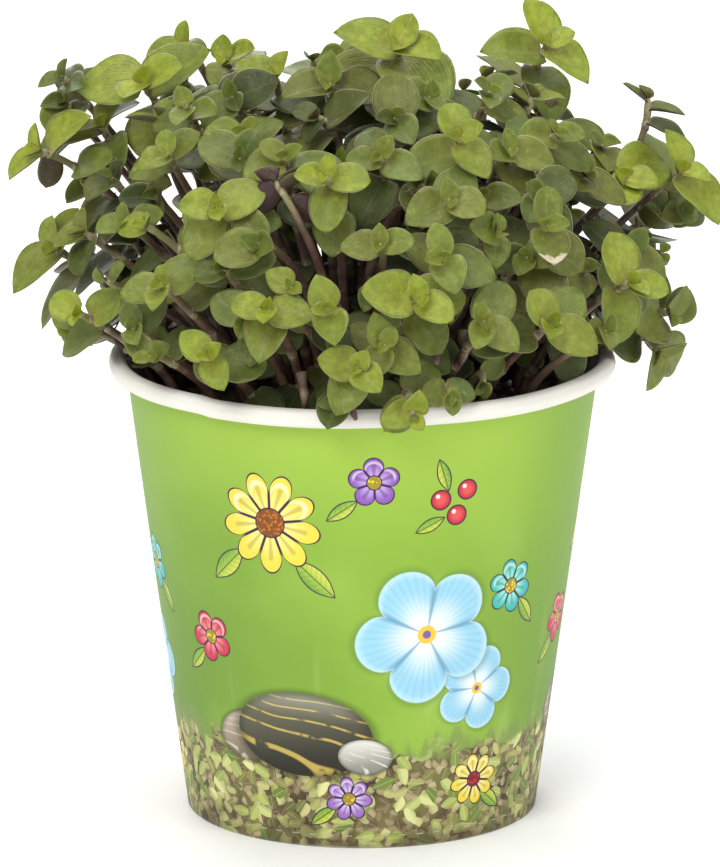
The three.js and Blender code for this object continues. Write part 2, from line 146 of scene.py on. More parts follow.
# quads between rings of points that follow each other, and a cap at both ends
def ringFaces(rings, sides, capped=True):
    faces = []
    for low in range(0, (rings - 1) * sides, sides):
        for i in range(sides):
            j = (i + 1) % sides
            faces.append((low + i, low + j, low + sides + j, low + sides + i))
    if capped:
        faces.append(tuple(reversed(range(sides))))
        faces.append(tuple(range((rings - 1) * sides, rings * sides)))
    return faces


# node helpers: materials are built one after another, and new nodes go into the tree on the bench
bench = {"tree": None}


# what a node gives out; sums with it add further nodes
class Value:
    def __init__(self, socket):
        self.socket = socket

    def __add__(self, other):
        return calc("ADD", self, other)

    def __radd__(self, other):
        return calc("ADD", other, self)

    def __sub__(self, other):
        return calc("SUBTRACT", self, other)

    def __rsub__(self, other):
        return calc("SUBTRACT", other, self)

    def __mul__(self, other):
        return calc("MULTIPLY", self, other)

    def __truediv__(self, other):
        return calc("DIVIDE", self, other)

    def __pow__(self, other):
        return calc("POWER", self, other)

    def __abs__(self):
        return calc("ABSOLUTE", self)


def newMaterial(name):
    material = bpy.data.materials.new(name)
    material.use_nodes = True
    bench["tree"] = material.node_tree
    return material, material.node_tree.nodes["Principled BSDF"]


def put(value, socket):
    if isinstance(value, Value):
        bench["tree"].links.new(value.socket, socket)
    elif isinstance(value, tuple) and len(value) == 3 and socket.type == "RGBA":
        socket.default_value = (*value, 1)
    else:
        socket.default_value = value


def fill(node, inputs):
    for name, value in inputs.items():
        put(value, node.inputs[name])


def newNode(kind, inputs=None):
    node = bench["tree"].nodes.new("ShaderNode" + kind)
    fill(node, inputs or {})
    return node


def calc(operation, *values):
    node = newNode("Math")
    node.operation = operation
    fill(node, dict(enumerate(values)))
    return Value(node.outputs[0])


# 0 to 1 as value goes from low to high, or the other way round when low is above high
def between(value, low, high):
    node = newNode("MapRange")
    node.interpolation_type = "SMOOTHSTEP"
    fill(node, {"Value": value, "From Min": min(low, high), "From Max": max(low, high)})
    if low > high:
        fill(node, {"To Min": 1, "To Max": 0})
    return Value(node.outputs["Result"])


# low where share is 0, high where it is 1
def blend(share, low, high, kind="MIX"):
    node = newNode("Mix")
    node.data_type = "RGBA"
    node.blend_type = kind
    fill(node, {0: share, 6: low, 7: high})
    return Value(node.outputs[2])


def noise(where, scale, detail=3, roughness=0.5):
    node = newNode("TexNoise", {"Vector": where, "Scale": scale, "Detail": detail, "Roughness": roughness})
    return Value(node.outputs[0])


# how far a place is from its cell's middle, and a colour drawn for the cell
def cells(where, scale):
    node = newNode("TexVoronoi", {"Vector": where, "Scale": scale})
    return Value(node.outputs["Distance"]), Value(node.outputs["Color"])


def darker(colour, share):
    return tuple(c * share for c in colour)


def objectPlace():
    return Value(newNode("TexCoord").outputs["Object"])


def stretched(where, scale, shift=(0, 0, 0)):
    return Value(newNode("Mapping", {"Vector": where, "Location": shift, "Scale": scale}).outputs[0])


def axes(vector):
    return [Value(output) for output in newNode("SeparateXYZ", {0: vector}).outputs]


# the three numbers that the mesh holds under a name
def stored(name):
    node = newNode("Attribute")
    node.attribute_name = name
    return axes(Value(node.outputs["Vector"]))


def relief(shader, height, strength, distance):
    bump = newNode("Bump", {"Strength": strength, "Distance": distance, "Height": height})
    put(Value(bump.outputs[0]), shader.inputs["Normal"])


# leaf finish: lime when young, sage green when grown, purple underneath, with fine veins from base to tip
leafFinish = {
    "lime": (0.322, 0.376, 0.024),
    "yellow": (0.47, 0.44, 0.075),
    "sage": (0.102, 0.142, 0.033),
    "olive": (0.155, 0.167, 0.030),
    # the pale grey bloom colour, partly a painted sheen
    "bloomAndSheen": (0.2, 0.245, 0.115),
    # deep: the colour of old leaves, and of leaves painted dark as painted shade
    "deep": (0.034, 0.050, 0.008),
    "rust": (0.13, 0.062, 0.035),
    "purple": (0.06, 0.026, 0.03),
    "paleUnder": (0.2, 0.235, 0.07),
    "margin": (0.42, 0.43, 0.2),
    "foot": (0.27, 0.23, 0.08),
    "rimGreen": (0.15, 0.23, 0.028),
    "vein": (0.03, 0.05, 0.012),
    "rib": (0.3, 0.33, 0.12),
    "dry": (0.58, 0.5, 0.36),
    "underGrain": (0.1, 0.085, 0.05),
    "underVein": (0.025, 0.012, 0.014),
    "underGreen": (0.1, 0.12, 0.035),
    "veins": 31,
    "roughness": 0.3,
    "gloss": 0.32,
}


def makeLeafMaterial(f):
    material, shader = newMaterial("leafSkin")
    along, across, face = stored("blade")
    young, chance, age = stored("tone")
    where = objectPlace()
    patches = noise(where, 150, 3)
    flecks = noise(where, 560, 3, 0.6)
    grain = noise(where, 1500, 2)
    side = abs(across)
    aged = calc("MINIMUM", age, 1) * 0.6
    grown = blend(between(chance + aged, 0.1, 1.25), f["sage"], f["deep"])
    hue = calc("FRACT", chance * 7.3)
    grown = blend(between(hue, 0.4, 1.0) * 0.75, grown, f["olive"])
    body = blend(young, grown, f["lime"])
    # young leaves are yellow about the middle of their head, and all leaves are a little at their foot
    head = between(along, 0.5, 0.0) * young * 0.6
    body = blend(head, body, f["yellow"])
    body = blend(between(along, 0.16, 0.0) * 0.45, body, f["foot"])
    # and greener towards their rim and tip
    rimward = calc("MAXIMUM", between(side, 0.4, 1.1), between(along, 0.5, 1.1)) * young
    body = blend(rimward * 0.5, body, f["rimGreen"])
    # lighter and darker patches, and small flecks
    light = 0.82 + between(patches, 0.3, 0.7) * 0.24
    light = light * (0.87 + between(flecks, 0.35, 0.68) * 0.27)
    body = blend(1, body, light, "MULTIPLY")
    # patches of pale grey waxy bloom, partly a painted sheen
    body = blend(between(patches, 0.42, 0.72) * 0.15, body, f["bloomAndSheen"])
    specks = between(flecks, 0.66, 0.73) * between(hue, 0.2, 0.5)
    body = blend(specks * 0.35, body, f["yellow"])
    # fine veins along the blade that come and go, and a faint rib
    wander = (flecks - 0.5) * 2.2
    waves = calc("SINE", across * (f["veins"] * 2) + wander)
    veins = between(waves, -0.2, 1.0) * between(grain, 0.38, 0.6)
    body = blend(veins * 0.2, body, f["vein"])
    body = blend(between(side, 0.06, 0.0) * 0.16, body, f["rib"])
    # rusty blush near the rim of older leaves, then the pale rim itself
    blush = between(side, 0.6, 0.95) * chance * (1 - young)
    body = blend(blush * 0.26, body, f["rust"])
    body = blend(between(side, 0.94, 0.99) * 0.7, body, f["margin"])
    # a dry pale tip where the age is marked as 2
    dry = between(age, 1.4, 1.6) * between(along + flecks * 0.3, 0.9, 0.96)
    body = blend(dry, body, f["dry"])
    # the underside keeps its green when young and turns purple with age
    under = blend(young, f["purple"], f["paleUnder"])
    under = blend(grain * 0.3, under, f["underGrain"])
    under = blend(1, under, light, "MULTIPLY")
    under = blend(veins * 0.3, under, f["underVein"])
    under = blend(between(hue, 0.35, 0.8) * 0.6, under, f["underGreen"])
    fill(shader, {
        "Base Color": blend(between(face, 0.47, 0.53), under, body),
        "Roughness": f["roughness"] + patches * 0.22,
        "Specular IOR Level": f["gloss"],
        "Subsurface Weight": 0.14,
        "Subsurface Radius": (1.0, 1.2, 0.25),
        "Subsurface Scale": 0.001,
    })
    puckers = noise(where, 330, 2)
    relief(shader, veins * -0.25 + grain * 0.2 + puckers * 1.5, 0.65, 0.0004)
    return material


# stem finish: purple-brown skin, greener near the tip, paler at its rings
stemFinish = {
    "skin": (0.088, 0.042, 0.034),
    "tan": (0.22, 0.145, 0.085),
    "green": (0.22, 0.22, 0.07),
    "ring": (0.34, 0.29, 0.17),
    "roughness": 0.45,
}


def makeStemMaterial(f):
    material, shader = newMaterial("stemSkin")
    down, ring, chance = stored("stalk")
    where = objectPlace()
    streaks = noise(where, 420, 4, 0.6)
    body = blend(between(streaks, 0.35, 0.7) * 0.55, f["skin"], f["tan"])
    body = blend(between(chance, 0.6, 1.0) * 0.6, body, f["tan"])
    body = blend(between(down, 0.16, 0.0), body, f["green"])
    fill(shader, {
        "Base Color": blend(ring * 0.75, body, f["ring"]),
        "Roughness": f["roughness"],
        "Subsurface Weight": 0.1,
        "Subsurface Radius": (1.0, 0.5, 0.3),
        "Subsurface Scale": 0.001,
    })
    relief(shader, streaks, 0.4, 0.0002)
    return material


# sheath finish: thin and pale with purple streaks
sheathFinish = {"pale": (0.34, 0.33, 0.17), "streak": (0.19, 0.09, 0.09), "roughness": 0.5}


def makeSheathMaterial(f):
    material, shader = newMaterial("sheathSkin")
    where = objectPlace()
    streaks = noise(where, 700, 3, 0.6)
    fill(shader, {
        "Base Color": blend(between(streaks, 0.42, 0.6), f["pale"], f["streak"]),
        "Roughness": f["roughness"],
        "Subsurface Weight": 0.2,
        "Subsurface Radius": (1.0, 0.8, 0.3),
        "Subsurface Scale": 0.0008,
    })
    relief(shader, streaks, 0.3, 0.0001)
    return material


leafSkin = makeLeafMaterial(leafFinish)
stemSkin = makeStemMaterial(stemFinish)
sheathSkin = makeSheathMaterial(sheathFinish)
print("stage: plant materials")


# plant: the same tips, roots, stems and leaves as the frame, in millimetres
plant = {
    "soilLevel": 99.5,
    "soilMound": 4,
    "soilLump": 1.1,
    "soilRadius": 54.9,
    "cupHeight": 109.5,
    "stemFoot": 1.2,
    "stemTip": 0.8,
    "matureLeaf": 13.4,
    "domeRadius": 70,
    "domeHeight": 66,
    "domeCentre": 118,
    "fanDepth": 50,
    "rootRadius": 46,
    "rootSpacing": 6.6,
    "faceUp": 20,
    "faceSide": 0.6,
    "leafTurn": 152,
    "turnWander": 24,
    "leafWidth": 0.88,
    "rootBend": 0.3,
    "tipBend": 0.34,
    "bendWander": 0.36,
    "openWander": 14,
    "rimClear": 9,
    "footClear": 7,
    "lowest": 104,
    "ranks": [(0.4, 0.48, 46), (1.1, 0.7, 62), (2.8, 0.88, 73), (6, 1, 80), (10.5, 1.04, 84),
              (17, 1, 88), (25.5, 0.95, 92), (36, 0.9, 96)],
    "lightTurn": [0.15, 0.3, 0.45, 0.6, 0.75, 0.9, 1, 1],
    "limeByRank": [1, 0.96, 0.8, 0.5, 0.26, 0.14, 0.06, 0],
    "lowerRanks": [(48, 0.8, 98), (61, 0.72, 100), (75, 0.66, 100)],
}

# front shoots, left to right: where the tip shows across and down, its setback, leaf size, turns of the
# first leaves, how many leaves, how much it faces the viewer, and how lime its head is
frontShoots = [
    (40, 151, 0, 1.2, (80, 230, 5, 285), 5, 1, 0.95),
    (56, 249, 0, 1.3, (80, 35, 220, 150, 225), 8, 1.4, 0.5),
    (62, 77, 4, 0.72, (50, 200, 320, 120), 8, 1.4, 0.1),
    (79, 314, 0, 0.88, (290, 150, 235, 30), 8, 2.2, 0.9),
    (101, 126, 4, 0.98, (250, 60, 190, 300, 150), 8, 1.8, 0.45),
    (125, 222, 8, 0.85, (90, 180, 0, 250), 8, 1.4, 0.3),
    (142, 83, 0, 1.32, (260, 2, 176, 28, 265), 8, 2.6, 0.9),
    (160, 284, 0, 0.88, (60, 272, 190, 45, 280), 8, 1.4, 0.6),
    (150, 356, 4, 0.75, (200, 20, 150, 300), 8, 1.4, 0.3),
    (168, 153, 2, 0.85, (90, 222, 35, 190, 10), 8, 1.4, 0.45),
    (184, 44, 14, 0.95, (85, 265, 185, 350), 8, 2.2, 0.75),
    (187, 106, 4, 0.8, (115, 270, 325, 180), 8, 1.4, 0.4),
    (207, 356, 0, 0.85, (30, 135, 300, 195), 8, 1.4, 0.8),
    (217, 207, 0, 0.95, (290, 180, 20, 240, 355), 8, 1.4, 0.7),
    (224, 60, 20, 1, (95, 345, 205, 290), 8, 2.2, 0.8),
    (242, 134, 20, 0.9, (10, 180, 250, 40), 8, 1.4, 0.4),
    (268, 308, 0, 0.9, (270, 175, 20, 258, 120), 8, 1.4, 0.75),
    (275, 76, 20, 1.05, (60, 150, 250, 330), 8, 1, 0.7),
    (285, 158, 6, 0.8, (20, 140, 200, 330), 8, 1.4, 0.35),
    (291, 287, 3, 0.7, (320, 145, 250, 60), 8, 1.4, 0.45),
    (327, 177, 0, 0.92, (80, 180, 355, 270, 120), 8, 1.4, 0.85),
    (328, 309, 0, 0.88, (200, 110, 280, 40), 8, 1.4, 0.6),
    (330, 84, 26, 1.3, (90, 210, 330, 160), 8, 2.2, 0.3),
    (357, 368, 0, 0.85, (60, 310, 165, 245), 8, 1.4, 0.7),
    (380, 158, 8, 0.9, (60, 200, 330, 110, 250), 8, 1.4, 0.3),
    (380, 245, 2, 0.85, (90, 5, 180, 270), 8, 1.4, 0.3),
    (384, 346, 2, 0.82, (60, 110, 220, 330), 8, 1.4, 0.45),
    (399, 46, 8, 1.45, (70, 318, 174, 276, 198), 8, 2.2, 0.85),
    (413, 415, 0, 0.72, (300, 85, 205, 240), 8, 1, 0.85),
    (418, 299, 0, 1.02, (105, 325, 172, 15, 272, 205), 8, 1.4, 0.85),
    (442, 258, 0, 0.88, (200, 100, 290, 345), 8, 1.4, 0.4),
    (449, 200, 3, 0.95, (100, 335, 215, 60), 8, 1.4, 0.3),
    (452, 397, 0, 0.56, (90, 270, 20, 200), 8, 1, 0.3),
    (460, 138, 2, 1, (20, 110, 300, 215, 20), 8, 1.4, 0.65),
    (484, 322, 0, 0.92, (120, 250, 320, 60), 8, 1.4, 0.35),
    (490, 92, 12, 0.85, (180, 255, 50, 340), 8, 1.4, 0.25),
    (510, 150, 10, 0.9, (100, 220, 350, 280), 8, 1.4, 0.3),
    (547, 226, 0, 0.95, (0, 90, 270, 200, 330), 8, 1.4, 0.35),
    (549, 44, 6, 1.2, (20, 112, 308, 196, 270), 8, 2.2, 0.9),
    (551, 323, 0, 1.1, (250, 130, 330, 45, 190, 290), 8, 1.4, 0.55),
    (557, 134, 4, 0.85, (180, 5, 200, 330), 8, 1.4, 0.35),
    (625, 180, 0, 1.3, (345, 240, 50, 195, 150), 8, 2.2, 0.95),
    (630, 283, 0, 1, (300, 350, 110, 250, 35), 8, 1.4, 0.8),
    (648, 98, 8, 0.8, (90, 178, 340, 300), 4, 0.1, 0.1),
    (658, 352, 0, 1.05, (30, 230, 320, 150, 50), 8, 2, 0.35),
    (669, 314, 2, 1.2, (60, 15, 200, 100), 8, 1, 0.25),
    (682, 172, 4, 1.2, (330, 120, 300, 200, 60), 8, 2.2, 0.9),
]
backTiers = [(6, 130, 14, 166, 1.1), (4, 154, 46, 134, 1.15)]
leans = {0: 2.2, 43: -0.3}  # shoots whose stem leans outward more, or less
leafTries = [
    (0, 0, 1), (16, 0, 1), (-16, 0, 1), (0, 14, 1), (0, -14, 1), (30, 0, 1), (-30, 0, 1), (18, 16, 0.92),
    (-18, 16, 0.92), (18, -16, 0.92), (-18, -16, 0.92), (0, 0, 0.8), (38, 8, 0.8), (-38, 8, 0.8),
    (0, 26, 0.8), (0, -26, 0.8), (52, 0, 0.72), (-52, 0, 0.72),
]
stemTries = [
    (0, 0), (4, 0), (-4, 0), (0, 4), (0, -4), (7, 0), (-7, 0), (5, 5), (-5, 5), (5, -5), (-5, -5), (10, 0),
    (-10, 0), (0, -8), (8, -6), (-8, -6), (13, 0), (-13, 0),
]
# the photo as the camera sees it: its middle, and the camera's lens, distance, height and tilt
picture = {
    "middle": (361.9, 433.5),
    "lens": 7686,
    "distance": 1813,
    "height": 89.65,
    "cos": math.cos(camera["tilt"]),
    "sin": math.sin(camera["tilt"]),
    "slope": math.tan(camera["tilt"]),
}


# a fixed draw from 0 to 1 for a shoot, one of its leaves and one of their properties
def draw(shoot, leaf, what):
    s = math.sin(shoot * 127.1 + leaf * 311.7 + what * 74.7) * 43758.5453
    return s - math.floor(s)


def soilHeight(x, y):
    r = math.hypot(x, y) / plant["soilRadius"]
    lumps = math.sin(x * 0.31 + 1.3) * math.cos(y * 0.27 - 0.4) + 0.5 * math.sin(x * 0.73 - y * 0.61)
    return plant["soilLevel"] + plant["soilMound"] * (1 - r * r) + plant["soilLump"] * lumps


# how far away the camera sees a place
def lensAway(y, z):
    return picture["distance"] + y * picture["cos"] - (z - picture["height"]) * picture["sin"]


# where the line of sight through a place in the picture crosses the plane of the cup's axis
def sight(across, down, away):
    x = (across - picture["middle"][0]) * away / picture["lens"]
    level = picture["height"] + (picture["middle"][1] - down) * away / picture["lens"] / picture["cos"]
    return x, level


# where a front tip lies in space: on the dome's near face behind the place where it shows
def frontTip(across, down, back):
    slope = picture["slope"]
    squash = (plant["domeRadius"] / plant["domeHeight"]) ** 2
    tip = np.array([0, 0, picture["height"]])
    for turn in range(6):
        x, level = sight(across, down, lensAway(tip[1], tip[2]))
        rise = level - plant["domeCentre"]
        a = 1 + squash * slope * slope
        b = -2 * squash * slope * rise
        c = x * x + squash * rise ** 2 - plant["domeRadius"] ** 2
        y = (-b - math.sqrt(max(0, b * b - 4 * a * c))) / (2 * a) + back
        tip = np.array([x, y, level - slope * y])
    return tip


shootKeys = ("size", "turns", "leaves", "face", "lime")


def gatherShoots():
    found = []
    for across, down, back, *rest in frontShoots:
        found.append({"tip": frontTip(across, down, back), **dict(zip(shootKeys, rest))})
    for tier, (count, height, start, end, size) in enumerate(backTiers):
        for i in range(count):
            turn = math.radians(start + (end - start) * i / (count - 1))
            level = (height - plant["domeCentre"]) / plant["domeHeight"]
            reach = plant["domeRadius"] * math.sqrt(1 - level ** 2) + 4 * (draw(i, tier, 90) - 0.5)
            rise = height + 16 * (draw(i, tier, 91) - 0.5)
            tip = np.array([reach * math.cos(turn), reach * math.sin(turn), rise])
            lime = 0.35 + 0.6 * draw(i, tier, 93)
            row = (size * (0.9 + 0.2 * draw(i, tier, 92)), (), 8, 0, lime)
            found.append({"tip": tip, **dict(zip(shootKeys, row))})
    return found


def clampLength(p, most):
    length = math.hypot(*p) or 1
    share = min(length, most) / length
    return [p[0] * share, p[1] * share]


# how much nearer to the middle a stem stands than its tip
def fanShare(tip):
    return plant["fanDepth"] / (max(tip[2] - plant["soilLevel"], 0) + plant["fanDepth"])


def placeRoots(tips):
    roots = []
    for tip in tips:
        share = fanShare(tip)
        roots.append(clampLength([tip[0] * share, tip[1] * share], plant["rootRadius"]))
    for turn in range(60):
        for i in range(len(roots)):
            for j in range(i + 1, len(roots)):
                dx = roots[j][0] - roots[i][0]
                dy = roots[j][1] - roots[i][1]
                length = math.hypot(dx, dy)
                short = plant["rootSpacing"] - length
                if short <= 0:
                    continue
                step = short / 2 / (length or 1)
                roots[j] = [roots[j][0] + dx * step, roots[j][1] + dy * step]
                roots[i] = [roots[i][0] - dx * step, roots[i][1] - dy * step]
        roots = [clampLength(root, plant["rootRadius"]) for root in roots]
    return roots


# where the light falls on a shoot from: above, outside and, where toward is below 0, the front
def lightFor(tip, toward):
    return unit(unit(np.array([tip[0], tip[1], 0])) * 0.5 + np.array([0, toward, 1]))


# the four handles of a shoot's stem, from the soil to the tip
def stemHandles(shoot, root, index, aside, outward):
    tip = shoot["tip"]
    foot = np.array([root[0], root[1], soilHeight(root[0], root[1])])
    height = np.linalg.norm(tip - foot)
    lean = leans.get(index, plant["faceSide"])
    facing = np.array([lean * tip[0], tip[1], tip[2] - plant["soilLevel"] + plant["faceUp"]])
    facing = unit(facing)
    facing = unit(facing - np.array([0, shoot["face"], 0]))
    facing = facing + plant["bendWander"] * np.array([draw(index, 0, 1) - 0.5, draw(index, 0, 2) - 0.5, 0])
    facing = unit(facing)
    rise = foot + np.array([0, 0, plant["rootBend"] * height])
    before = tip - plant["tipBend"] * height * facing
    before[2] = max(before[2], plant["cupHeight"] + plant["rimClear"])
    away = unit(np.array([tip[0], tip[1], 0]))
    shift = away * outward + np.array([-away[1], away[0], 0]) * aside
    return foot, rise + shift, before + shift, tip


def curvePoints(handles, count):
    t = np.linspace(0, 1, count + 1)[:, None]
    a, b, c, d = handles
    return (1 - t) ** 3 * a + 3 * (1 - t) ** 2 * t * b + 3 * (1 - t) * t * t * c + t ** 3 * d


def acrossStem(along):
    side = unit(np.array([along[2], 0, -along[0]]))
    return side, np.cross(along, side)


# the direction at a turn from side towards other
def spoke(side, other, turn):
    return side * math.cos(turn) + other * math.sin(turn)


# the place at a distance down a stem from its tip, and the stem's direction there
def downStem(line, down):
    k = len(line) - 1
    rest = down
    while k > 1 and rest > np.linalg.norm(line[k] - line[k - 1]):
        rest -= np.linalg.norm(line[k] - line[k - 1])
        k -= 1
    along = unit(line[k] - line[k - 1])
    return along, line[k] - along * rest


def leafAzimuth(turns, side, other, index, rank):
    wander = plant["turnWander"] * (draw(index, rank, 4) - 0.5)
    last = min(rank, len(turns) - 1)
    if last < 0:
        return 360 * draw(index, 0, 3) + rank * plant["leafTurn"] + wander
    shown = math.radians(turns[last])
    inView = spoke(np.array([1, 0, 0]), np.array([0, picture["sin"], picture["cos"]]), shown)
    azimuth = math.degrees(math.atan2(inView @ other, inView @ side))
    return azimuth if rank == last else azimuth + (rank - last) * plant["leafTurn"] + wander


# the blade's own axes: along it, across it and out of its upper face
def leafAxes(shoot, index, rank, turnBy, openBy, along, opening, lightShare):
    side, other = acrossStem(along)
    turn = math.radians(leafAzimuth(shoot["turns"], side, other, index, rank) + turnBy)
    lean = math.radians(opening + plant["openWander"] * (draw(index, rank, 5) - 0.5) + openBy)
    out = spoke(side, other, turn)
    x = out * math.sin(lean) + along * math.cos(lean)
    z = unit(along * math.sin(lean) - out * math.cos(lean) + shoot["light"] * lightShare)
    x = unit(x - z * (x @ z))
    return np.array([x, np.cross(z, x), z])


def leafLength(shoot, index, rank, share):
    return plant["matureLeaf"] * shoot["size"] * share * (0.9 + 0.2 * draw(index, rank, 6))


def leafDroop(index, rank):
    return 0.05 + 0.16 * draw(index, rank, 7) * min(1, rank / 3)


def frameRim(u):
    return 0.5 * plant["leafWidth"] * 2.6 * u ** 0.6 * (1 - u) ** 0.8


# points of a frame blade: its tip and the corners of its rim
def framePoints(length, droop, rank):
    points = [(length, 0, -droop * length)]
    for u in ((0.42,) if rank < 1 else (0.17, 0.62)):
        half = frameRim(u) * length
        z = -droop * length * u * u + 0.32 * half
        points += [(u * length, half, z), (u * length, -half, z)]
    return np.array(points)


def nearest(points, cloud):
    apart = np.linalg.norm(points[:, None] - cloud[None], axis=2)
    return apart.min(axis=1)


# the corners of a frame stem, which lie as far from its axis as its radius there
def stemCorners(line):
    rows = []
    for k in range(1, len(line) - 1):
        side, other = acrossStem(unit(line[k + 1] - line[k - 1]))
        radius = plant["stemFoot"] + (plant["stemTip"] - plant["stemFoot"]) * k / (len(line) - 1)
        rows += [line[k] + side * radius, line[k] - side * radius, line[k] + other * radius]
    return np.array(rows)


# a leaf marked as lying in shade is painted in the deep colour, as painted shade
def newBlade(rank, down, basis, length, droop, shaded=False):
    return {"rank": rank, "down": down, "basis": basis, "length": length, "droop": droop, "shaded": shaded}


# how many of the points are corners of the node
def matches(points, cloud):
    return (nearest(points, cloud) < 0.05).sum()


# each shoot's stem and leaves are those that its frame node shows
def matchFrame(shoots):
    roots = placeRoots([shoot["tip"] for shoot in shoots])
    for index, shoot in enumerate(shoots):
        shoot["light"] = lightFor(shoot["tip"], -0.7 if shoot["face"] > 0 else 0)
        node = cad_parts["shoot_%02d" % (index + 1)]
        cloud = np.empty(len(node.data.vertices) * 3, np.float32)
        node.data.vertices.foreach_get("co", cloud)
        cloud = cloud.reshape(-1, 3).astype(float) * 1000
        best = -1
        for aside, outward in stemTries:
            handles = stemHandles(shoot, roots[index], index, aside, outward)
            height = np.linalg.norm(handles[3] - handles[0])
            line = curvePoints(handles, max(4, int(math.floor(1.1 * height / 17 + 0.5))))
            score = matches(stemCorners(line), cloud)
            if score > best:
                best = score
                shoot["fine"] = curvePoints(handles, 60)
                shoot["length"] = sum(np.linalg.norm(b - a) for a, b in zip(line, line[1:]))
                stemLine = line
        shoot["blades"] = []
        for rank, (down, share, opening) in enumerate(plant["ranks"]):
            if rank >= shoot["leaves"] or down > shoot["length"] - plant["footClear"]:
                continue
            along, place = downStem(stemLine, down)
            length = leafLength(shoot, index, rank, share)
            droop = leafDroop(index, rank)
            light = plant["lightTurn"][rank]
            best = 0
            for turnBy, openBy, scale in leafTries:
                basis = leafAxes(shoot, index, rank, turnBy, openBy, along, opening, light)
                score = matches(place + framePoints(length * scale, droop, rank) @ basis, cloud)
                if score > best:
                    best = score
                    found = newBlade(rank, down, basis, length * scale, droop)
            if best > 0:
                shoot["blades"].append(found)
    return roots


shoots = gatherShoots()
roots = matchFrame(shoots)
print("stage: matched", sum(len(shoot["blades"]) for shoot in shoots), "leaves on", len(shoots), "shoots")


# fine blade: a closed, slightly fleshy blade with a groove on its rib, cupped and broad near the stem
blade = {
    "rows": 12,
    "columns": 8,
    "width": 0.84,
    "broadest": (0.44, 0.62),
    "thick": 0.55,
    "groove": 0.1,
    "lobe": 0.045,
    "wave": 0.04,
    "point": 0.22,
}


def bladePattern(b):
    rows = b["rows"]
    columns = b["columns"]
    shares = (np.arange(1, rows) / rows) ** 1.08
    sides = np.linspace(-1, 1, columns + 1)
    sides = np.sign(sides) * np.abs(sides) ** 0.9
    top = [(u, v, 1.0) for u in shares for v in sides]
    low = [(u, v, 0.0) for u in shares for v in sides[1:-1]]
    points = np.array(top + low + [(0.0, 0.0, 0.5), (1.0, 0.0, 0.5)])
    rim = np.abs(points[:, 1]) > 0.999
    points[rim, 2] = 0.5
    width = columns + 1
    base = len(points) - 2
    end = len(points) - 1

    def upper(k, j):
        return k * width + j

    def lower(k, j):
        if j in (0, columns):
            return upper(k, j)
        return (rows - 1) * width + k * (width - 2) + j - 1

    faces = []
    for j in range(columns):
        for k in range(rows - 2):
            faces.append((upper(k, j), upper(k + 1, j), upper(k + 1, j + 1), upper(k, j + 1)))
            faces.append((lower(k, j), lower(k, j + 1), lower(k + 1, j + 1), lower(k + 1, j)))
        faces.append((base, upper(0, j), upper(0, j + 1)))
        faces.append((base, lower(0, j + 1), lower(0, j)))
        faces.append((upper(rows - 2, j), end, upper(rows - 2, j + 1)))
        faces.append((lower(rows - 2, j), lower(rows - 2, j + 1), end))
    return points, faces


bladeShares, bladeFaces = bladePattern(blade)


# half the width at each share of the length; seed makes some blades round and others long or pointed
def bladeHalf(u, seed):
    a = blade["broadest"][0] + 0.1 * (draw(seed, 6, 40) - 0.5)
    b = blade["broadest"][1] + 0.36 * (draw(seed, 7, 40) - 0.4)
    peak = (a / (a + b)) ** a * (b / (a + b)) ** b
    pinch = 1 - blade["point"] * np.exp(-((1 - u) / 0.09) ** 1.5)
    width = blade["width"] * (0.88 + 0.24 * draw(seed, 1, 40))
    return 0.5 * width * u ** a * (1 - u) ** b / peak * pinch


# a blade's points in its own axes; cup is how far its sides lift, seed gives it its own small bends
def bladePoints(length, droop, cup, seed, shares):
    u = shares[:, 0]
    v = shares[:, 1]
    half = bladeHalf(u, seed) * length
    side = np.abs(v)
    x = u * length - blade["lobe"] * length * v * v * np.exp(-u / 0.09)
    bend = (draw(seed, 2, 40) - 0.5) * 0.09
    y = v * half + bend * length * u * u
    z = -droop * length * u * u + cup * half * (0.35 * side + 0.65 * v * v)
    phase = 6.28 * draw(seed, 3, 40)
    z = z + blade["wave"] * half * side * np.sin(u * (5 + 5 * draw(seed, 4, 40)) + phase + (v > 0) * 1.7)
    z = z + length * (0.10 * draw(seed, 5, 40) - 0.06) * np.clip(u - 0.55, 0, 1) ** 2 * 3
    rib = np.exp(-((v * half) / (0.05 * length + 0.12)) ** 2)
    rib = rib * np.clip(1.15 - u, 0, 1) * np.clip(u * 12, 0, 1)
    z = z - blade["groove"] * rib
    thick = blade["thick"] * min(1, length / 12) * (1 - 0.72 * side ** 3) * (1 - 0.6 * u ** 4)
    z = z + (shares[:, 2] - 0.5) * thick
    return np.column_stack([x, y, z])


sheath = {"sides": 8, "long": 2.1, "flare": 0.3}


# a short sleeve round the stem at the foot of a leaf
def sheathPoints(place, along, radius, toward, scale):
    side = unit(toward - along * (toward @ along))
    other = np.cross(along, side)
    rows = [(-0.25, -0.12), (0.0, 0.16), (0.55, 0.14), (1.0, sheath["flare"]), (0.97, 0.0)]
    points = []
    for share, grow in rows:
        for i in range(sheath["sides"]):
            turn = 2 * math.pi * i / sheath["sides"]
            lift = 1 + 0.4 * math.cos(turn) * max(share, 0)
            r = radius + grow * scale
            centre = place + along * (share * lift - 0.75) * sheath["long"] * scale
            points.append(centre + spoke(side, other, turn) * r)
    return np.array(points), ringFaces(len(rows), sheath["sides"])


stem = {"sides": 8, "step": 1.6, "sunk": 7, "swell": 0.2}


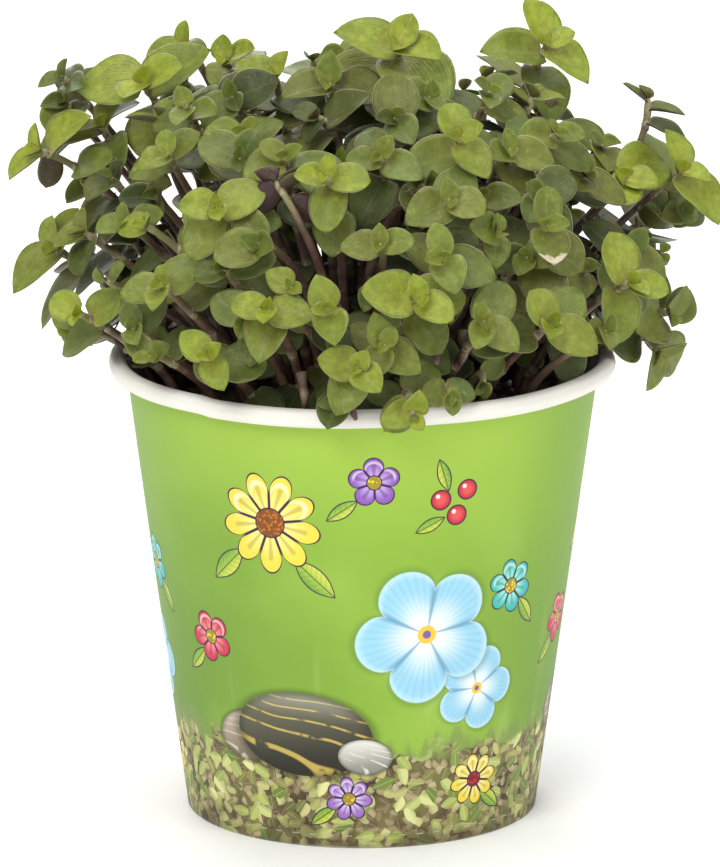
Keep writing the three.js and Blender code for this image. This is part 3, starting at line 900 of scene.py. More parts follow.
# a smooth round stem with a swollen ring at each of its leaf joints
def stemPoints(line, feet, tips, sunk, chance):
    steps = np.linalg.norm(np.diff(line, axis=0), axis=1)
    travelled = np.concatenate([[0], np.cumsum(steps)])
    total = travelled[-1]
    count = max(4, int(total / stem["step"]))
    marks = np.linspace(0, total, count + 1)
    centres = np.column_stack([np.interp(marks, travelled, line[:, i]) for i in range(3)])
    joints = np.array([total - d for d in tips] or [-100.0])
    rows = []
    data = []
    if sunk > 0:
        centres = np.vstack([centres[0] - np.array([0, 0, sunk]), centres])
        marks = np.concatenate([[0], marks])
    last = len(centres) - 1
    for k, centre in enumerate(centres):
        along = unit(centres[min(k + 1, last)] - centres[max(k - 1, 0)])
        side, other = acrossStem(along)
        share = marks[k] / total
        near = np.abs(joints - marks[k]).min()
        ring = math.exp(-(near / 0.9) ** 2)
        radius = (feet + (plant["stemTip"] - feet) * share) * (1 + stem["swell"] * ring)
        if k == last:
            radius *= 0.55
        for i in range(stem["sides"]):
            turn = 2 * math.pi * i / stem["sides"]
            rows.append(centre + spoke(side, other, turn) * radius)
            data.append(((total - marks[k]) / 100, ring, chance))
    return np.array(rows), ringFaces(last + 1, stem["sides"]), data


# everything already standing, so that what is added keeps clear of it
standing = {"low": [], "high": [], "trees": [], "owner": []}
coarseRows = (0.04, 0.2, 0.4, 0.6, 0.8, 0.97)
coarseShares = np.array([(u, v, 0.5) for u in coarseRows for v in (-1, -0.5, 0, 0.5, 1)])
coarseFaces = [(k + j, k + j + 1, k + j + 6, k + j + 5) for k in range(0, 25, 5) for j in range(4)]


def remember(points, faces, owner):
    standing["low"].append(points.min(axis=0))
    standing["high"].append(points.max(axis=0))
    standing["trees"].append(BVHTree.FromPolygons(points.tolist(), faces))
    standing["owner"].append(owner)


def isClear(points, faces, owner, reach=0.3):
    low = np.array(standing["low"])
    high = np.array(standing["high"])
    near = (low - reach < points.max(axis=0)) & (high + reach > points.min(axis=0))
    tree = None
    for i in np.nonzero(near.all(axis=1))[0]:
        if owner is not None and standing["owner"][i] == owner:
            continue
        tree = tree or BVHTree.FromPolygons(points.tolist(), faces)
        if tree.overlap(standing["trees"][i]):
            return False
    return True


def tube(line, radius):
    points = []
    for k, centre in enumerate(line):
        along = unit(line[min(k + 1, len(line) - 1)] - line[max(k - 1, 0)])
        side, other = acrossStem(along)
        for i in range(4):
            turn = math.pi / 2 * i
            points.append(centre + spoke(side, other, turn) * radius)
    return np.array(points), ringFaces(len(line), 4, False)


# the rolled rim and a band of the wall under it, so that no leaf passes through the cup
guard = {"turns": 60, "rim": (57.8, 107.3), "rimReach": 2.6, "band": ((60, 49.9), (105.4, 56))}


def rimTube(g):
    turns = np.linspace(0, 2 * math.pi, g["turns"] + 1)
    radius, height = g["rim"]
    line = np.column_stack([radius * np.cos(turns), radius * np.sin(turns), np.full(len(turns), height)])
    return tube(line, g["rimReach"])


def wallBand(g):
    turns = np.linspace(0, 2 * math.pi, g["turns"] + 1)
    n = len(turns)
    points = []
    for z, radius in g["band"]:
        points += [(radius * math.cos(turn), radius * math.sin(turn), z) for turn in turns]
    return np.array(points), [(k, k + 1, k + n + 1, k + n) for k in range(n - 1)]


# leaves, stems and sheaths gathered into one mesh
class Growth:
    def __init__(self):
        self.places = []
        self.faces = []
        self.slots = []
        self.blade = []
        self.tone = []
        self.stalk = []
        self.count = 0

    def add(self, points, faces, slot, blades=None, tone=(0, 0, 0), stalks=None):
        self.places.append(points)
        self.faces += [tuple(i + self.count for i in face) for face in faces]
        self.slots += [slot] * len(faces)
        self.blade.append(np.zeros((len(points), 3)) if blades is None else blades)
        self.tone.append(np.tile(tone, (len(points), 1)))
        self.stalk.append(np.zeros((len(points), 3)) if stalks is None else np.array(stalks))
        self.count += len(points)

    def piece(self, name):
        extra = {"blade": self.blade, "tone": self.tone, "stalk": self.stalk}
        extra = {key: np.vstack(rows) for key, rows in extra.items()}
        skins = [leafSkin, stemSkin, sheathSkin]
        made = makePiece(name, np.vstack(self.places), self.faces, skins, self.slots, extra)
        return made


def addBlade(growth, place, basis, length, droop, cup, seed, tone):
    points = place + bladePoints(length, droop, cup, seed, bladeShares) @ basis
    growth.add(points, bladeFaces, 0, bladeShares, tone)


def stemRadiusAt(shoot, down):
    share = 1 - down / shoot["length"]
    return shoot["foot"] + (plant["stemTip"] - shoot["foot"]) * share


# leaves with a dry patch at their tip, by shoot and rank
scorched = {(37, 2)}

# leaves that hang with their purple underside to the front, by shoot: how far down the stem they start,
# which way they point in the picture, their length, and their place in the range of hues
hanging = {
    0: [(3.5, (-5, 36), 8.2, 0.07)],
    80: [(1.2, (-21, 26), 8.8, 0.16), (6.6, (22, 14), 8.4, 0.15), (0.4, (-18, -9), 5.6, 0.14)],
}


# what the frame holds first, then leaves further down and the folded bud at each tip
def dressShoot(shoot, index, growth):
    line = shoot["fine"]
    tone = [shoot["lime"], draw(index, 0, 50), 0]
    joints = [b["down"] for b in shoot["blades"]] + shoot["bare"]
    points, faces, data = stemPoints(line, shoot["foot"], joints, shoot["sunk"], draw(index, 0, 51))
    growth.add(points, faces, 1, stalks=data)
    for b in shoot["blades"]:
        rank = b["rank"]
        along, place = downStem(line, b["down"])
        radius = stemRadiusAt(shoot, b["down"])
        young = tone[0] * (plant["limeByRank"][rank] if rank < 8 else 0)
        age = 2 if (index, rank) in scorched else min(1, b["down"] / 45)
        chance = draw(index, rank, 52)
        # a leaf where the picture shows shade is painted deep and less lime: painted shade
        if b["shaded"]:
            young, chance, age = young * 0.3, 0.8 + 0.2 * chance, 1
        cup = 0.32 * (1.5 - 0.18 * min(rank, 4)) * (0.7 + 0.6 * draw(index, rank, 53))
        addBlade(growth, place, b["basis"], b["length"], b["droop"], cup, index * 17 + rank,
                 (young, chance, age))
        if rank > 1:
            scale = min(1, b["length"] / 11)
            growth.add(*sheathPoints(place, along, radius, b["basis"][0], scale), 2)
    for down, (right, below), length, chance in hanging.get(index, []):
        along, place = downStem(line, down)
        x = unit(np.array([right, 0.25 * abs(right), -below]))
        z = np.array([0.25, 1, 0.4])
        z = unit(z - x * (x @ z))
        basis = np.array([x, np.cross(z, x), z])
        place = place + np.array([0, 1.3, 0])
        addBlade(growth, place, basis, length, 0.14, 0.4, index * 17 + int(down), (0, chance, 1))
    # a rolled leaf in the middle of the head
    along, place = downStem(line, 0.2)
    basis = leafAxes(shoot, index, 0, 165, 0, along, 30, 0.25)
    addBlade(growth, place, basis, 4.2 * shoot["size"], 0.02, 0.9, index * 17 + 15, (tone[0], 0.3, 0))


def addLowerLeaves(shoot, index):
    for step, (down, share, opening) in enumerate(plant["lowerRanks"]):
        rank = 8 + step
        few = 0.6 if shoot["face"] > 0 else 0.2
        if shoot["leaves"] < 8 or down > shoot["length"] - 9 or draw(index, rank, 60) < few:
            continue
        along, place = downStem(shoot["fine"], down)
        length = leafLength(shoot, index, rank, share)
        droop = leafDroop(index, 3)
        for turnBy, openBy, scale in leafTries:
            basis = leafAxes(shoot, index, rank, turnBy, openBy, along, opening, 0.9)
            points = place + bladePoints(length * scale, droop, 0.3, index, coarseShares) @ basis
            if points[:, 2].min() > plant["lowest"] and isClear(points[5:], coarseFaces[:-4], index):
                remember(points, coarseFaces, index)
                shoot["blades"].append(newBlade(rank, down, basis, length * scale, droop))
                break


for index, shoot in enumerate(shoots):
    shoot["foot"] = plant["stemFoot"]
    shoot["sunk"] = stem["sunk"]
    shoot["bare"] = [d for d in (50, 64, 79) if d < shoot["length"] - 4]
    remember(*tube(shoot["fine"][::4], 1.1), index)
    for b in shoot["blades"]:
        place = downStem(shoot["fine"], b["down"])[1]
        seed = index * 17 + b["rank"]
        points = place + bladePoints(b["length"], b["droop"], 0.32, seed, coarseShares) @ b["basis"]
        remember(points, coarseFaces, index)
remember(*rimTube(guard), -1)
remember(*wallBand(guard), -1)
for index, shoot in enumerate(shoots):
    addLowerLeaves(shoot, index)
print("stage: lower leaves,", sum(len(shoot["blades"]) for shoot in shoots), "in all")


# smaller shoots that show between the front ones, in rows like theirs
sideShoots = [
    (64, 101, 6, 0.95, (170, 250, 330, 80), 5, 1.2, 0.15),
    (84, 232, 4, 1.05, (80, 190, 300, 20), 6, 1.6, 0.3),
    (112, 178, 10, 1.0, (20, 250, 130, 330), 5, 1.2, 0.1),
    (106, 281, 6, 1.0, (300, 60, 190, 350), 5, 1.4, 0.2),
    (133, 328, 6, 1.0, (270, 150, 30, 200), 5, 1.4, 0.15),
    (146, 226, 10, 0.85, (0, 180, 80, 270), 5, 1.2, 0.85),
    (190, 76, 26, 1.0, (320, 180, 250, 30), 5, 1.2, 0.1),
    (206, 240, 2, 1.1, (240, 110, 330, 20), 5, 1.6, 0.5),
    (240, 158, 8, 0.95, (270, 60, 180, 350), 5, 1.6, 0.1),
    (258, 243, 4, 1.15, (350, 200, 90, 280), 5, 1.6, 0.15),
    (246, 318, 4, 1.0, (270, 350, 180, 80), 5, 1.6, 0.2),
    (318, 116, 24, 1.1, (160, 270, 30, 220), 5, 1.2, 0.1),
    (352, 62, 22, 1.2, (170, 240, 60, 320), 5, 1.2, 0.3),
    (430, 96, 16, 1.0, (280, 200, 30, 330), 5, 1.4, 0.2),
    (500, 232, 6, 1.0, (60, 180, 300, 20), 5, 1.6, 0.3),
    (520, 262, 4, 1.0, (250, 30, 150, 330), 5, 1.6, 0.2),
    (586, 176, 14, 1.05, (110, 220, 350, 280), 5, 1.4, 0.1),
    (606, 330, 6, 1.0, (270, 190, 40, 340), 5, 1.6, 0.2),
    (655, 258, 8, 0.95, (320, 70, 210, 20), 5, 1.4, 0.25),
    (676, 204, 10, 1.0, (250, 200, 60, 330), 5, 1.4, 0.1),
    (276, 182, 3, 1.0, (200, 340, 90, 250), 4, -2.6, 0.0),
    (372, 404, 0, 0.95, (280, 205, 90, 330), 4, 1.2, 0.0),
    (484, 388, 2, 0.7, (275, 180, 350, 90), 4, 1.2, 0.3),
    (160, 196, 10, 0.95, (30, 200, 300, 120), 5, 1.4, 0.1),
    (88, 186, 8, 0.95, (330, 210, 80, 280), 5, 1.4, 0.1),
    (302, 262, 4, 1.0, (200, 320, 90, 20), 5, 1.4, 0.1),
    (420, 178, 6, 0.95, (300, 60, 180, 240), 5, 1.4, 0.1),
    (592, 262, 8, 1.0, (200, 20, 280, 120), 5, 1.4, 0.1),
    (596, 150, 4, 1.15, (190, 240, 100, 330), 4, 1.4, 0.25),
    (52, 172, 2, 0.85, (260, 300, 200), 2, -2.6, 0.0),
    (395, 118, 14, 1.0, (200, 300, 90, 20), 5, 1.4, 0.1),
    (540, 196, 8, 1.0, (150, 230, 20, 300), 5, 1.4, 0.1),
    (664, 208, 6, 1.2, (200, 330, 90, 270), 5, 1.6, 0.15),
    (308, 60, 24, 1.1, (90, 200, 330, 20), 5, 1.0, 0.15),
    (128, 108, 10, 1.1, (200, 330, 90, 260), 5, 1.4, 0.1),
    (232, 96, 16, 1.1, (300, 200, 20, 90), 5, 1.4, 0.1),
    (632, 250, 8, 1.0, (60, 200, 320, 130), 5, 1.4, 0.1),
    (224, 268, 6, 0.9, (60, 200, 320, 130), 5, 1.4, 0.15),
    (366, 288, 4, 0.9, (300, 200, 20, 90), 5, 1.4, 0.15),
]
nudges = [
    (0, 0, 0), (0, 0, 4), (6, 0, 2), (-6, 0, 2), (0, -6, 2), (0, 6, 2), (7, 5, 6), (-7, 5, 6), (7, -5, 6),
    (-7, -5, 6), (11, 0, 8), (-11, 0, 8), (0, 10, 8), (0, 0, 10), (5, 0, 13), (-5, 0, 13), (0, -5, 16),
    (0, 6, 18), (9, 3, 20), (-9, 3, 20),
]

# filling shoots that the frame leaves out: they close the cushion's middle, top and back
filling = {
    "candidates": 520,
    "spacing": 13.0,
    "depths": (0.97, 0.84, 0.7),
    "frontDepths": (0.86, 0.74),
    "ranks": [(0.4, 0.44, 36), (1.1, 0.66, 60), (2.8, 0.86, 74), (6, 1, 80), (11, 1, 86), (18, 0.92, 90)],
    "rimTop": (64, 113),
    "highest": 180,
}
rooting = {"rings": 5, "step": 2.2, "radius": 49, "room": 3}

# the foliage's upper edge in the picture, which no filling leaf passes: how far down it lies at each across
crown = {
    "across": (0, 5, 16, 28, 45, 52, 64, 100, 148, 165, 172, 184, 196, 204, 220, 232, 256, 292, 308, 316,
               330, 345, 364, 385, 400, 412, 426, 440, 446, 472, 482, 490, 500, 522, 524, 532, 556, 575, 580,
               587, 590, 616, 628, 645, 655, 668, 676, 703, 712, 716),
    "down": (240, 192, 160, 140, 90, 73, 64, 61, 57, 45, 28, 23, 31, 42, 35, 41, 53, 64, 62, 48, 44,
             32, 23, 22, 17, 22, 42, 70, 96, 88, 72, 50, 36, 32, 5, 5, 21, 30, 50, 92,
             125, 110, 91, 82, 88, 107, 130, 146, 170, 215),
    "acrossUnder": (0, 11, 12, 42, 46, 72, 78, 92, 104, 108, 614, 620, 632, 645, 668, 690, 694, 702, 705,
                    716),
    "downUnder": (196, 196, 302, 302, 330, 363, 352, 345, 350, 900, 900, 360, 372, 378, 383, 386, 325, 325,
                  222, 222),
}


def fillTips(f, taken):
    found = []
    golden = math.pi * (3 - math.sqrt(5))
    for i in range(f["candidates"]):
        level = 1 - 1.28 * (i + 0.5) / f["candidates"]
        around = math.sqrt(max(0, 1 - level * level))
        turn = golden * i
        way = np.array([around * math.cos(turn), around * math.sin(turn), level])
        front = way[1] < -0.15
        for depth in f["frontDepths"] if front else f["depths"]:
            size = np.array([plant["domeRadius"], plant["domeRadius"], plant["domeHeight"]]) * depth
            tip = np.array([0, 0, plant["domeCentre"]]) + way * size
            tip = tip + 3 * (np.array([draw(i, 1, 70), draw(i, 2, 70), draw(i, 3, 70)]) - 0.5)
            if tip[2] < f["rimTop"][1] and math.hypot(tip[0], tip[1]) < f["rimTop"][0]:
                continue
            if tip[2] > f["highest"] or min(np.linalg.norm(tip - other) for other in taken) < f["spacing"]:
                continue
            taken.append(tip)
            found.append(tip)
            break
    return found


# a place in the soil for one more stem, as near as there is room
def rootFor(tip, taken):
    share = fanShare(tip)
    best = None
    for ring in range(rooting["rings"]):
        for k in range(1 if ring == 0 else 8):
            x = tip[0] * share + ring * rooting["step"] * math.cos(k * math.pi / 4)
            y = tip[1] * share + ring * rooting["step"] * math.sin(k * math.pi / 4)
            root = clampLength([x, y], rooting["radius"])
            room = min(math.hypot(root[0] - r[0], root[1] - r[1]) for r in taken)
            if room > rooting["room"]:
                return root
            if best is None or room > best[0]:
                best = (room, root)
    return best[1]


# where points show in the picture
def shownAt(points):
    x, y, z = points.T
    away = lensAway(y, z)
    rise = (z - picture["height"]) * picture["cos"] + y * picture["sin"]
    return (picture["middle"][0] + picture["lens"] * x / away,
            picture["middle"][1] - picture["lens"] * rise / away)


# whether a leaf stays within the crown's edges, or passes them by no more than spare, and clear of the
# openings and, on the near side, of the shades
def keepsOpen(points, spare):
    across, down = shownAt(points)
    above = down < np.interp(across, crown["across"], crown["down"]) - spare
    under = down > np.interp(across, crown["acrossUnder"], crown["downUnder"]) + spare
    if (above | under).any():
        return False
    near = points[:, 1].mean() < -10
    return not covers(across, down, openings) and not (near and covers(across, down, shades))


def covers(across, down, circles):
    return any(((across - x) ** 2 + (down - y) ** 2 < reach * reach).any() for x, y, reach in circles)


# stem and leaves of one more shoot, where they are clear of what stands; with fewer leaves it isn't grown
def growShoot(shoot, index, ranks, taken, fewest, spare):
    root = rootFor(shoot["tip"], taken)
    for aside, outward in stemTries:
        fine = curvePoints(stemHandles(shoot, root, index, aside, outward), 40)
        if isClear(*tube(fine[2::4], 1.0), index):
            break
    else:
        return False
    shoot["fine"] = fine
    shoot["length"] = float(np.linalg.norm(np.diff(fine, axis=0), axis=1).sum())
    shoot["blades"] = []
    outlines = []
    for rank, (down, share, opening) in enumerate(ranks):
        if rank >= shoot["leaves"] or down > shoot["length"] - plant["footClear"]:
            continue
        along, place = downStem(fine, down)
        length = leafLength(shoot, index, rank, share)
        droop = leafDroop(index, rank)
        seed = index * 17 + rank
        light = plant["lightTurn"][rank]
        for turnBy, openBy, scale in leafTries:
            basis = leafAxes(shoot, index, rank, turnBy, openBy, along, opening, light)
            points = place + bladePoints(length * scale, droop, 0.3, seed, coarseShares) @ basis
            whole = place + bladePoints(length * scale, droop, 0.3, seed, bladeShares) @ basis
            if keepsOpen(whole, spare) and isClear(points, coarseFaces, index):
                # a leaf over a shade circle, short of the back, is marked for painted shade
                shaded = place[1] < 30 and covers(*shownAt(whole), shades)
                outlines.append(points)
                shoot["blades"].append(newBlade(rank, down, basis, length * scale, droop, shaded))
                break
    if len(outlines) < fewest:
        return False
    shoot["bare"] = [d for d in (30, 44, 58) if d < shoot["length"] - 4]
    remember(*tube(fine[::4], 0.9), index)
    for points in outlines:
        remember(points, coarseFaces, index)
    taken.append(root)
    return True


# where the background shows through, and where only stems and shade do: across, down and reach
openings = [
    (690, 245, 16), (705, 240, 14), (680, 262, 10), (690, 280, 7), (705, 275, 14), (685, 340, 8),
    (50, 203, 6), (30, 212, 11), (12, 225, 12), (15, 240, 12), (25, 320, 15), (60, 352, 11),
    (45, 340, 9), (92, 372, 9), (140, 138, 10), (643, 125, 9), (559, 156, 7), (294, 133, 7),
    (152, 262, 9), (212, 74, 7), (182, 188, 6), (280, 130, 9), (150, 132, 7), (190, 178, 5),
    (177, 220, 5), (168, 197, 6), (575, 205, 6),
]
# leaves that may still cover a shade are painted dark there, as painted shade
shades = [
    (273, 384, 20), (298, 335, 17), (338, 265, 15), (462, 379, 15), (262, 189, 14), (305, 368, 13),
    (355, 275, 13), (289, 359, 13), (323, 122, 12), (466, 350, 12), (299, 384, 11), (384, 266, 11),
    (298, 199, 10), (111, 328, 10), (596, 357, 10), (503, 388, 10), (184, 318, 10), (372, 273, 10),
    (168, 346, 10), (116, 246, 10), (224, 337, 10), (338, 143, 9), (121, 184, 9), (406, 228, 9),
    (328, 102, 9), (593, 247, 9), (185, 171, 9), (169, 331, 9), (87, 186, 9), (600, 235, 9), (587, 263, 9),
    (524, 376, 9), (446, 390, 9), (293, 212, 9), (155, 201, 8), (304, 268, 8), (91, 290, 8), (173, 174, 8),
    (272, 174, 8), (134, 183, 8), (134, 248, 8), (98, 252, 8), (318, 264, 8), (366, 406, 8), (338, 124, 8),
    (390, 186, 8), (600, 312, 8), (258, 96, 8), (155, 188, 8), (519, 234, 8), (87, 266, 8), (249, 394, 8),
    (281, 212, 7), (475, 338, 7), (198, 168, 7), (148, 262, 7), (501, 313, 7), (385, 389, 7), (303, 240, 7),
    (468, 317, 7), (395, 393, 7), (309, 398, 7), (513, 215, 7), (102, 289, 7), (610, 325, 6), (155, 349, 6),
    (392, 367, 6), (50, 166, 6), (480, 180, 6), (216, 183, 6), (333, 242, 6), (259, 283, 6), (550, 382, 6),
    (516, 181, 6), (394, 232, 6), (602, 302, 6), (195, 185, 6), (467, 332, 6), (165, 379, 6), (165, 207, 6),
]


def growSideShoots(taken):
    grown = []
    for index, (across, down, back, *rest) in enumerate(sideShoots, 60):
        for right, below, behind in nudges:
            tip = frontTip(across + right, down + below, back + behind)
            shoot = {"tip": tip, **dict(zip(shootKeys, rest)), "foot": 1.1, "sunk": 5}
            facing = shoot["face"] > 0
            shoot["light"] = lightFor(tip, -0.7 if facing else 0.5)
            if growShoot(shoot, index, plant["ranks"], taken, 3 if facing else 2, 3):
                grown.append((index, shoot))
                break
        else:
            print("side shoot left out", index, across, down)
    return grown


# short purple root stubs, each as places in the picture and how far forward they lie
stubs = [
    {"thick": 0.8, "forward": (48, 54, 60.2, 61.2),
     "line": [(344, 392), (350, 403), (353, 412), (356, 420)]},
    {"thick": 1.1, "forward": (50, 51, 52, 53), "line": [(301, 372), (303, 386), (305, 398), (304, 409)]},
    {"thick": 1.2, "forward": (46, 47, 48), "line": [(437, 352), (434, 366), (429, 377)]},
    {"thick": 0.9, "forward": (46, 47, 48), "line": [(463, 330), (466, 350), (460, 366)]},
]


# the place in space, y behind the cup's axis, that shows at a place in the picture
def placeShown(across, down, y):
    z = picture["height"]
    for turn in range(6):
        x, level = sight(across, down, lensAway(y, z))
        z = level - picture["slope"] * y
    return np.array([x, y, z])


def addStubs(growth):
    for b in stubs:
        marks = [placeShown(x, y, -forward) for (x, y), forward in zip(b["line"], b["forward"])]
        t = np.linspace(0, len(marks) - 1, 4 * len(marks))
        line = np.column_stack([np.interp(t, range(len(marks)), np.array(marks)[:, i]) for i in range(3)])
        points, faces, data = stemPoints(line, b["thick"], [3.0, 8.0], 0, 0.1)
        growth.add(points, faces, 1, stalks=[(0.5, ring, chance) for down, ring, chance in data])


def growFillers(f, taken, tips):
    grown = []
    for index, tip in enumerate(fillTips(f, tips), 100):
        front = tip[1] < -10
        if front and tip[2] < 140 and draw(index, 4, 71) < 0.45:
            continue
        lime = 0.75 * draw(index, 2, 71) ** 1.3
        row = (0.82 + 0.24 * draw(index, 1, 71), (), 6, 1.1 if front else 0, lime)
        shoot = {"tip": tip, **dict(zip(shootKeys, row)), "foot": 1.0, "sunk": 5}
        shoot["light"] = lightFor(tip, -0.7 if front else 0)
        if growShoot(shoot, index, f["ranks"], taken, 4, 0):
            grown.append((index, shoot))
    return grown


for index, shoot in enumerate(shoots):
    for b in shoot["blades"]:
        place = downStem(shoot["fine"], b["down"])[1]
        points = place + bladePoints(b["length"], b["droop"], 0.32, index, bladeShares) @ b["basis"]
        # frame leaves over a shade circle, between the near and far sides, are marked for painted shade
        b["shaded"] = -10 < points[:, 1].mean() < 30 and covers(*shownAt(points), shades)
nearer = growSideShoots(roots)
tips = [shoot["tip"] for shoot in shoots + [shoot for index, shoot in nearer]]
fillers = growFillers(filling, roots, tips)
print("stage: side shoots", len(nearer), "and filling shoots", len(fillers), "with",
      sum(len(s["blades"]) for i, s in nearer + fillers), "leaves")

for index, shoot in enumerate(shoots):
    growth = Growth()
    dressShoot(shoot, index, growth)
    made = growth.piece("leafyStem_%02d" % (index + 1))
    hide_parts("shoot_%02d" % (index + 1))
for kind, group in (("sideStems", nearer), ("fillingStems", fillers)):
    for start in range(0, len(group), 6):
        growth = Growth()
        for index, shoot in group[start:start + 6]:
            dressShoot(shoot, index, growth)
        if kind == "sideStems" and start == 0:
            addStubs(growth)
        growth.piece("%s_%02d" % (kind, start // 6 + 1))
print("stage: plant built")


# cup: one board, printed outside, white on its rolled rim and inside
cup = {
    "height": 109.5,
    "foot": 41.4,
    "throat": 55.6,
    "roll": 2.2,
    "rollCentre": 57.8,
    "board": 0.7,
    "hem": 6,
    "slot": 1.3,
    "sides": 216,
    "crimp": 3.0,
    "crimpDepth": 0.16,
    "unround": 0.22,
    "rimWave": 0.22,
    "lap": 0.32,
    "seamDent": 0.35,
    "kink": 0.45,
    "seamTurn": math.radians(164),
    "kinkTurn": math.radians(-38),
}
wallTop = cup["height"] - 2 * cup["roll"]


def wallRadius(height):
    return cup["foot"] + (cup["throat"] - cup["foot"]) * height / wallTop


def cupProfile(c):
    outline = []
    for z in (0.0, 0.25, 0.9, 1.8, 2.5, 2.8, 3.0, 3.2, 3.5, 4.5, 7):
        dent = c["crimpDepth"] * math.exp(-((z - c["crimp"]) / 0.28) ** 2)
        inset = 0.22 if z == 0 else 0
        outline.append((wallRadius(z) - dent - inset, z, 0))
    for z in np.linspace(12, wallTop - 0.8, 18):
        outline.append((wallRadius(z), z, 0))
    outline.append((wallRadius(wallTop - 0.2), wallTop - 0.2, 0))
    for i in range(19):
        turn = math.radians(-128 + i * 283 / 18)
        outline.append((c["rollCentre"] + c["roll"] * math.cos(turn),
                        c["height"] - c["roll"] + c["roll"] * math.sin(turn), 1))
    for z in (wallTop - 0.5, 98, 60, 20, c["board"]):
        outline.append((wallRadius(z) - c["board"], z, 1))
    outline.append((c["foot"] - c["board"] - c["slot"], c["board"], 1))
    outline.append((wallRadius(c["hem"]) - c["board"] - c["slot"], c["hem"], 1))
    outline.append((wallRadius(c["hem"]) - 2 * c["board"] - c["slot"], c["hem"], 1))
    outline.append((c["foot"] - 2 * c["board"] - c["slot"] + 0.1, 0.0, 1))
    return outline


def makeCup(c, materials):
    outline = cupProfile(c)
    places = []
    for r, z, part in outline:
        for i in range(c["sides"]):
            turn = 2 * math.pi * i / c["sides"]
            # the turn is counted from the front, to the right
            apart = (turn - c["seamTurn"] + math.pi) % (2 * math.pi) - math.pi
            kink = (turn - c["kinkTurn"] + math.pi) % (2 * math.pi) - math.pi
            lap = 0.0
            if part == 0 or z > wallTop - 1:
                lap = c["lap"] / (1 + math.exp(min(60, -apart * 260))) * math.exp(-max(apart, 0) * 9)
            # the board is a little out of round towards the rim
            upper = max(0, z / c["height"]) ** 2
            unround = upper * (c["unround"] * math.sin(2 * turn + 0.8) + 0.1 * math.sin(5 * turn))
            rise = c["rimWave"] * upper * math.sin(turn * 2 - 0.5) + 0.1 * upper * math.sin(turn * 7)
            if z > wallTop - 1:
                step = c["kink"] / (1 + math.exp(min(60, -kink * 90)))
                rise -= c["seamDent"] * math.exp(-(apart / 0.05) ** 2) + step
                rise += c["kink"] * min(1, max(0, kink / 0.9))
            radius = r + lap + unround - (0.2 if r > 59.5 else 0)
            places.append((radius * math.sin(turn), -radius * math.cos(turn), z + (rise if z > 1 else 0)))
    faces = []
    slots = []
    n = c["sides"]
    count = len(outline)
    for k in range(count):
        following = (k + 1) % count
        part = 1 if outline[k][2] or outline[following][2] else 0
        for i in range(n):
            j = (i + 1) % n
            faces.append((k * n + i, k * n + j, following * n + j, following * n + i))
            slots.append(part)
    return makePiece("printedCup", places, faces, materials, slots)


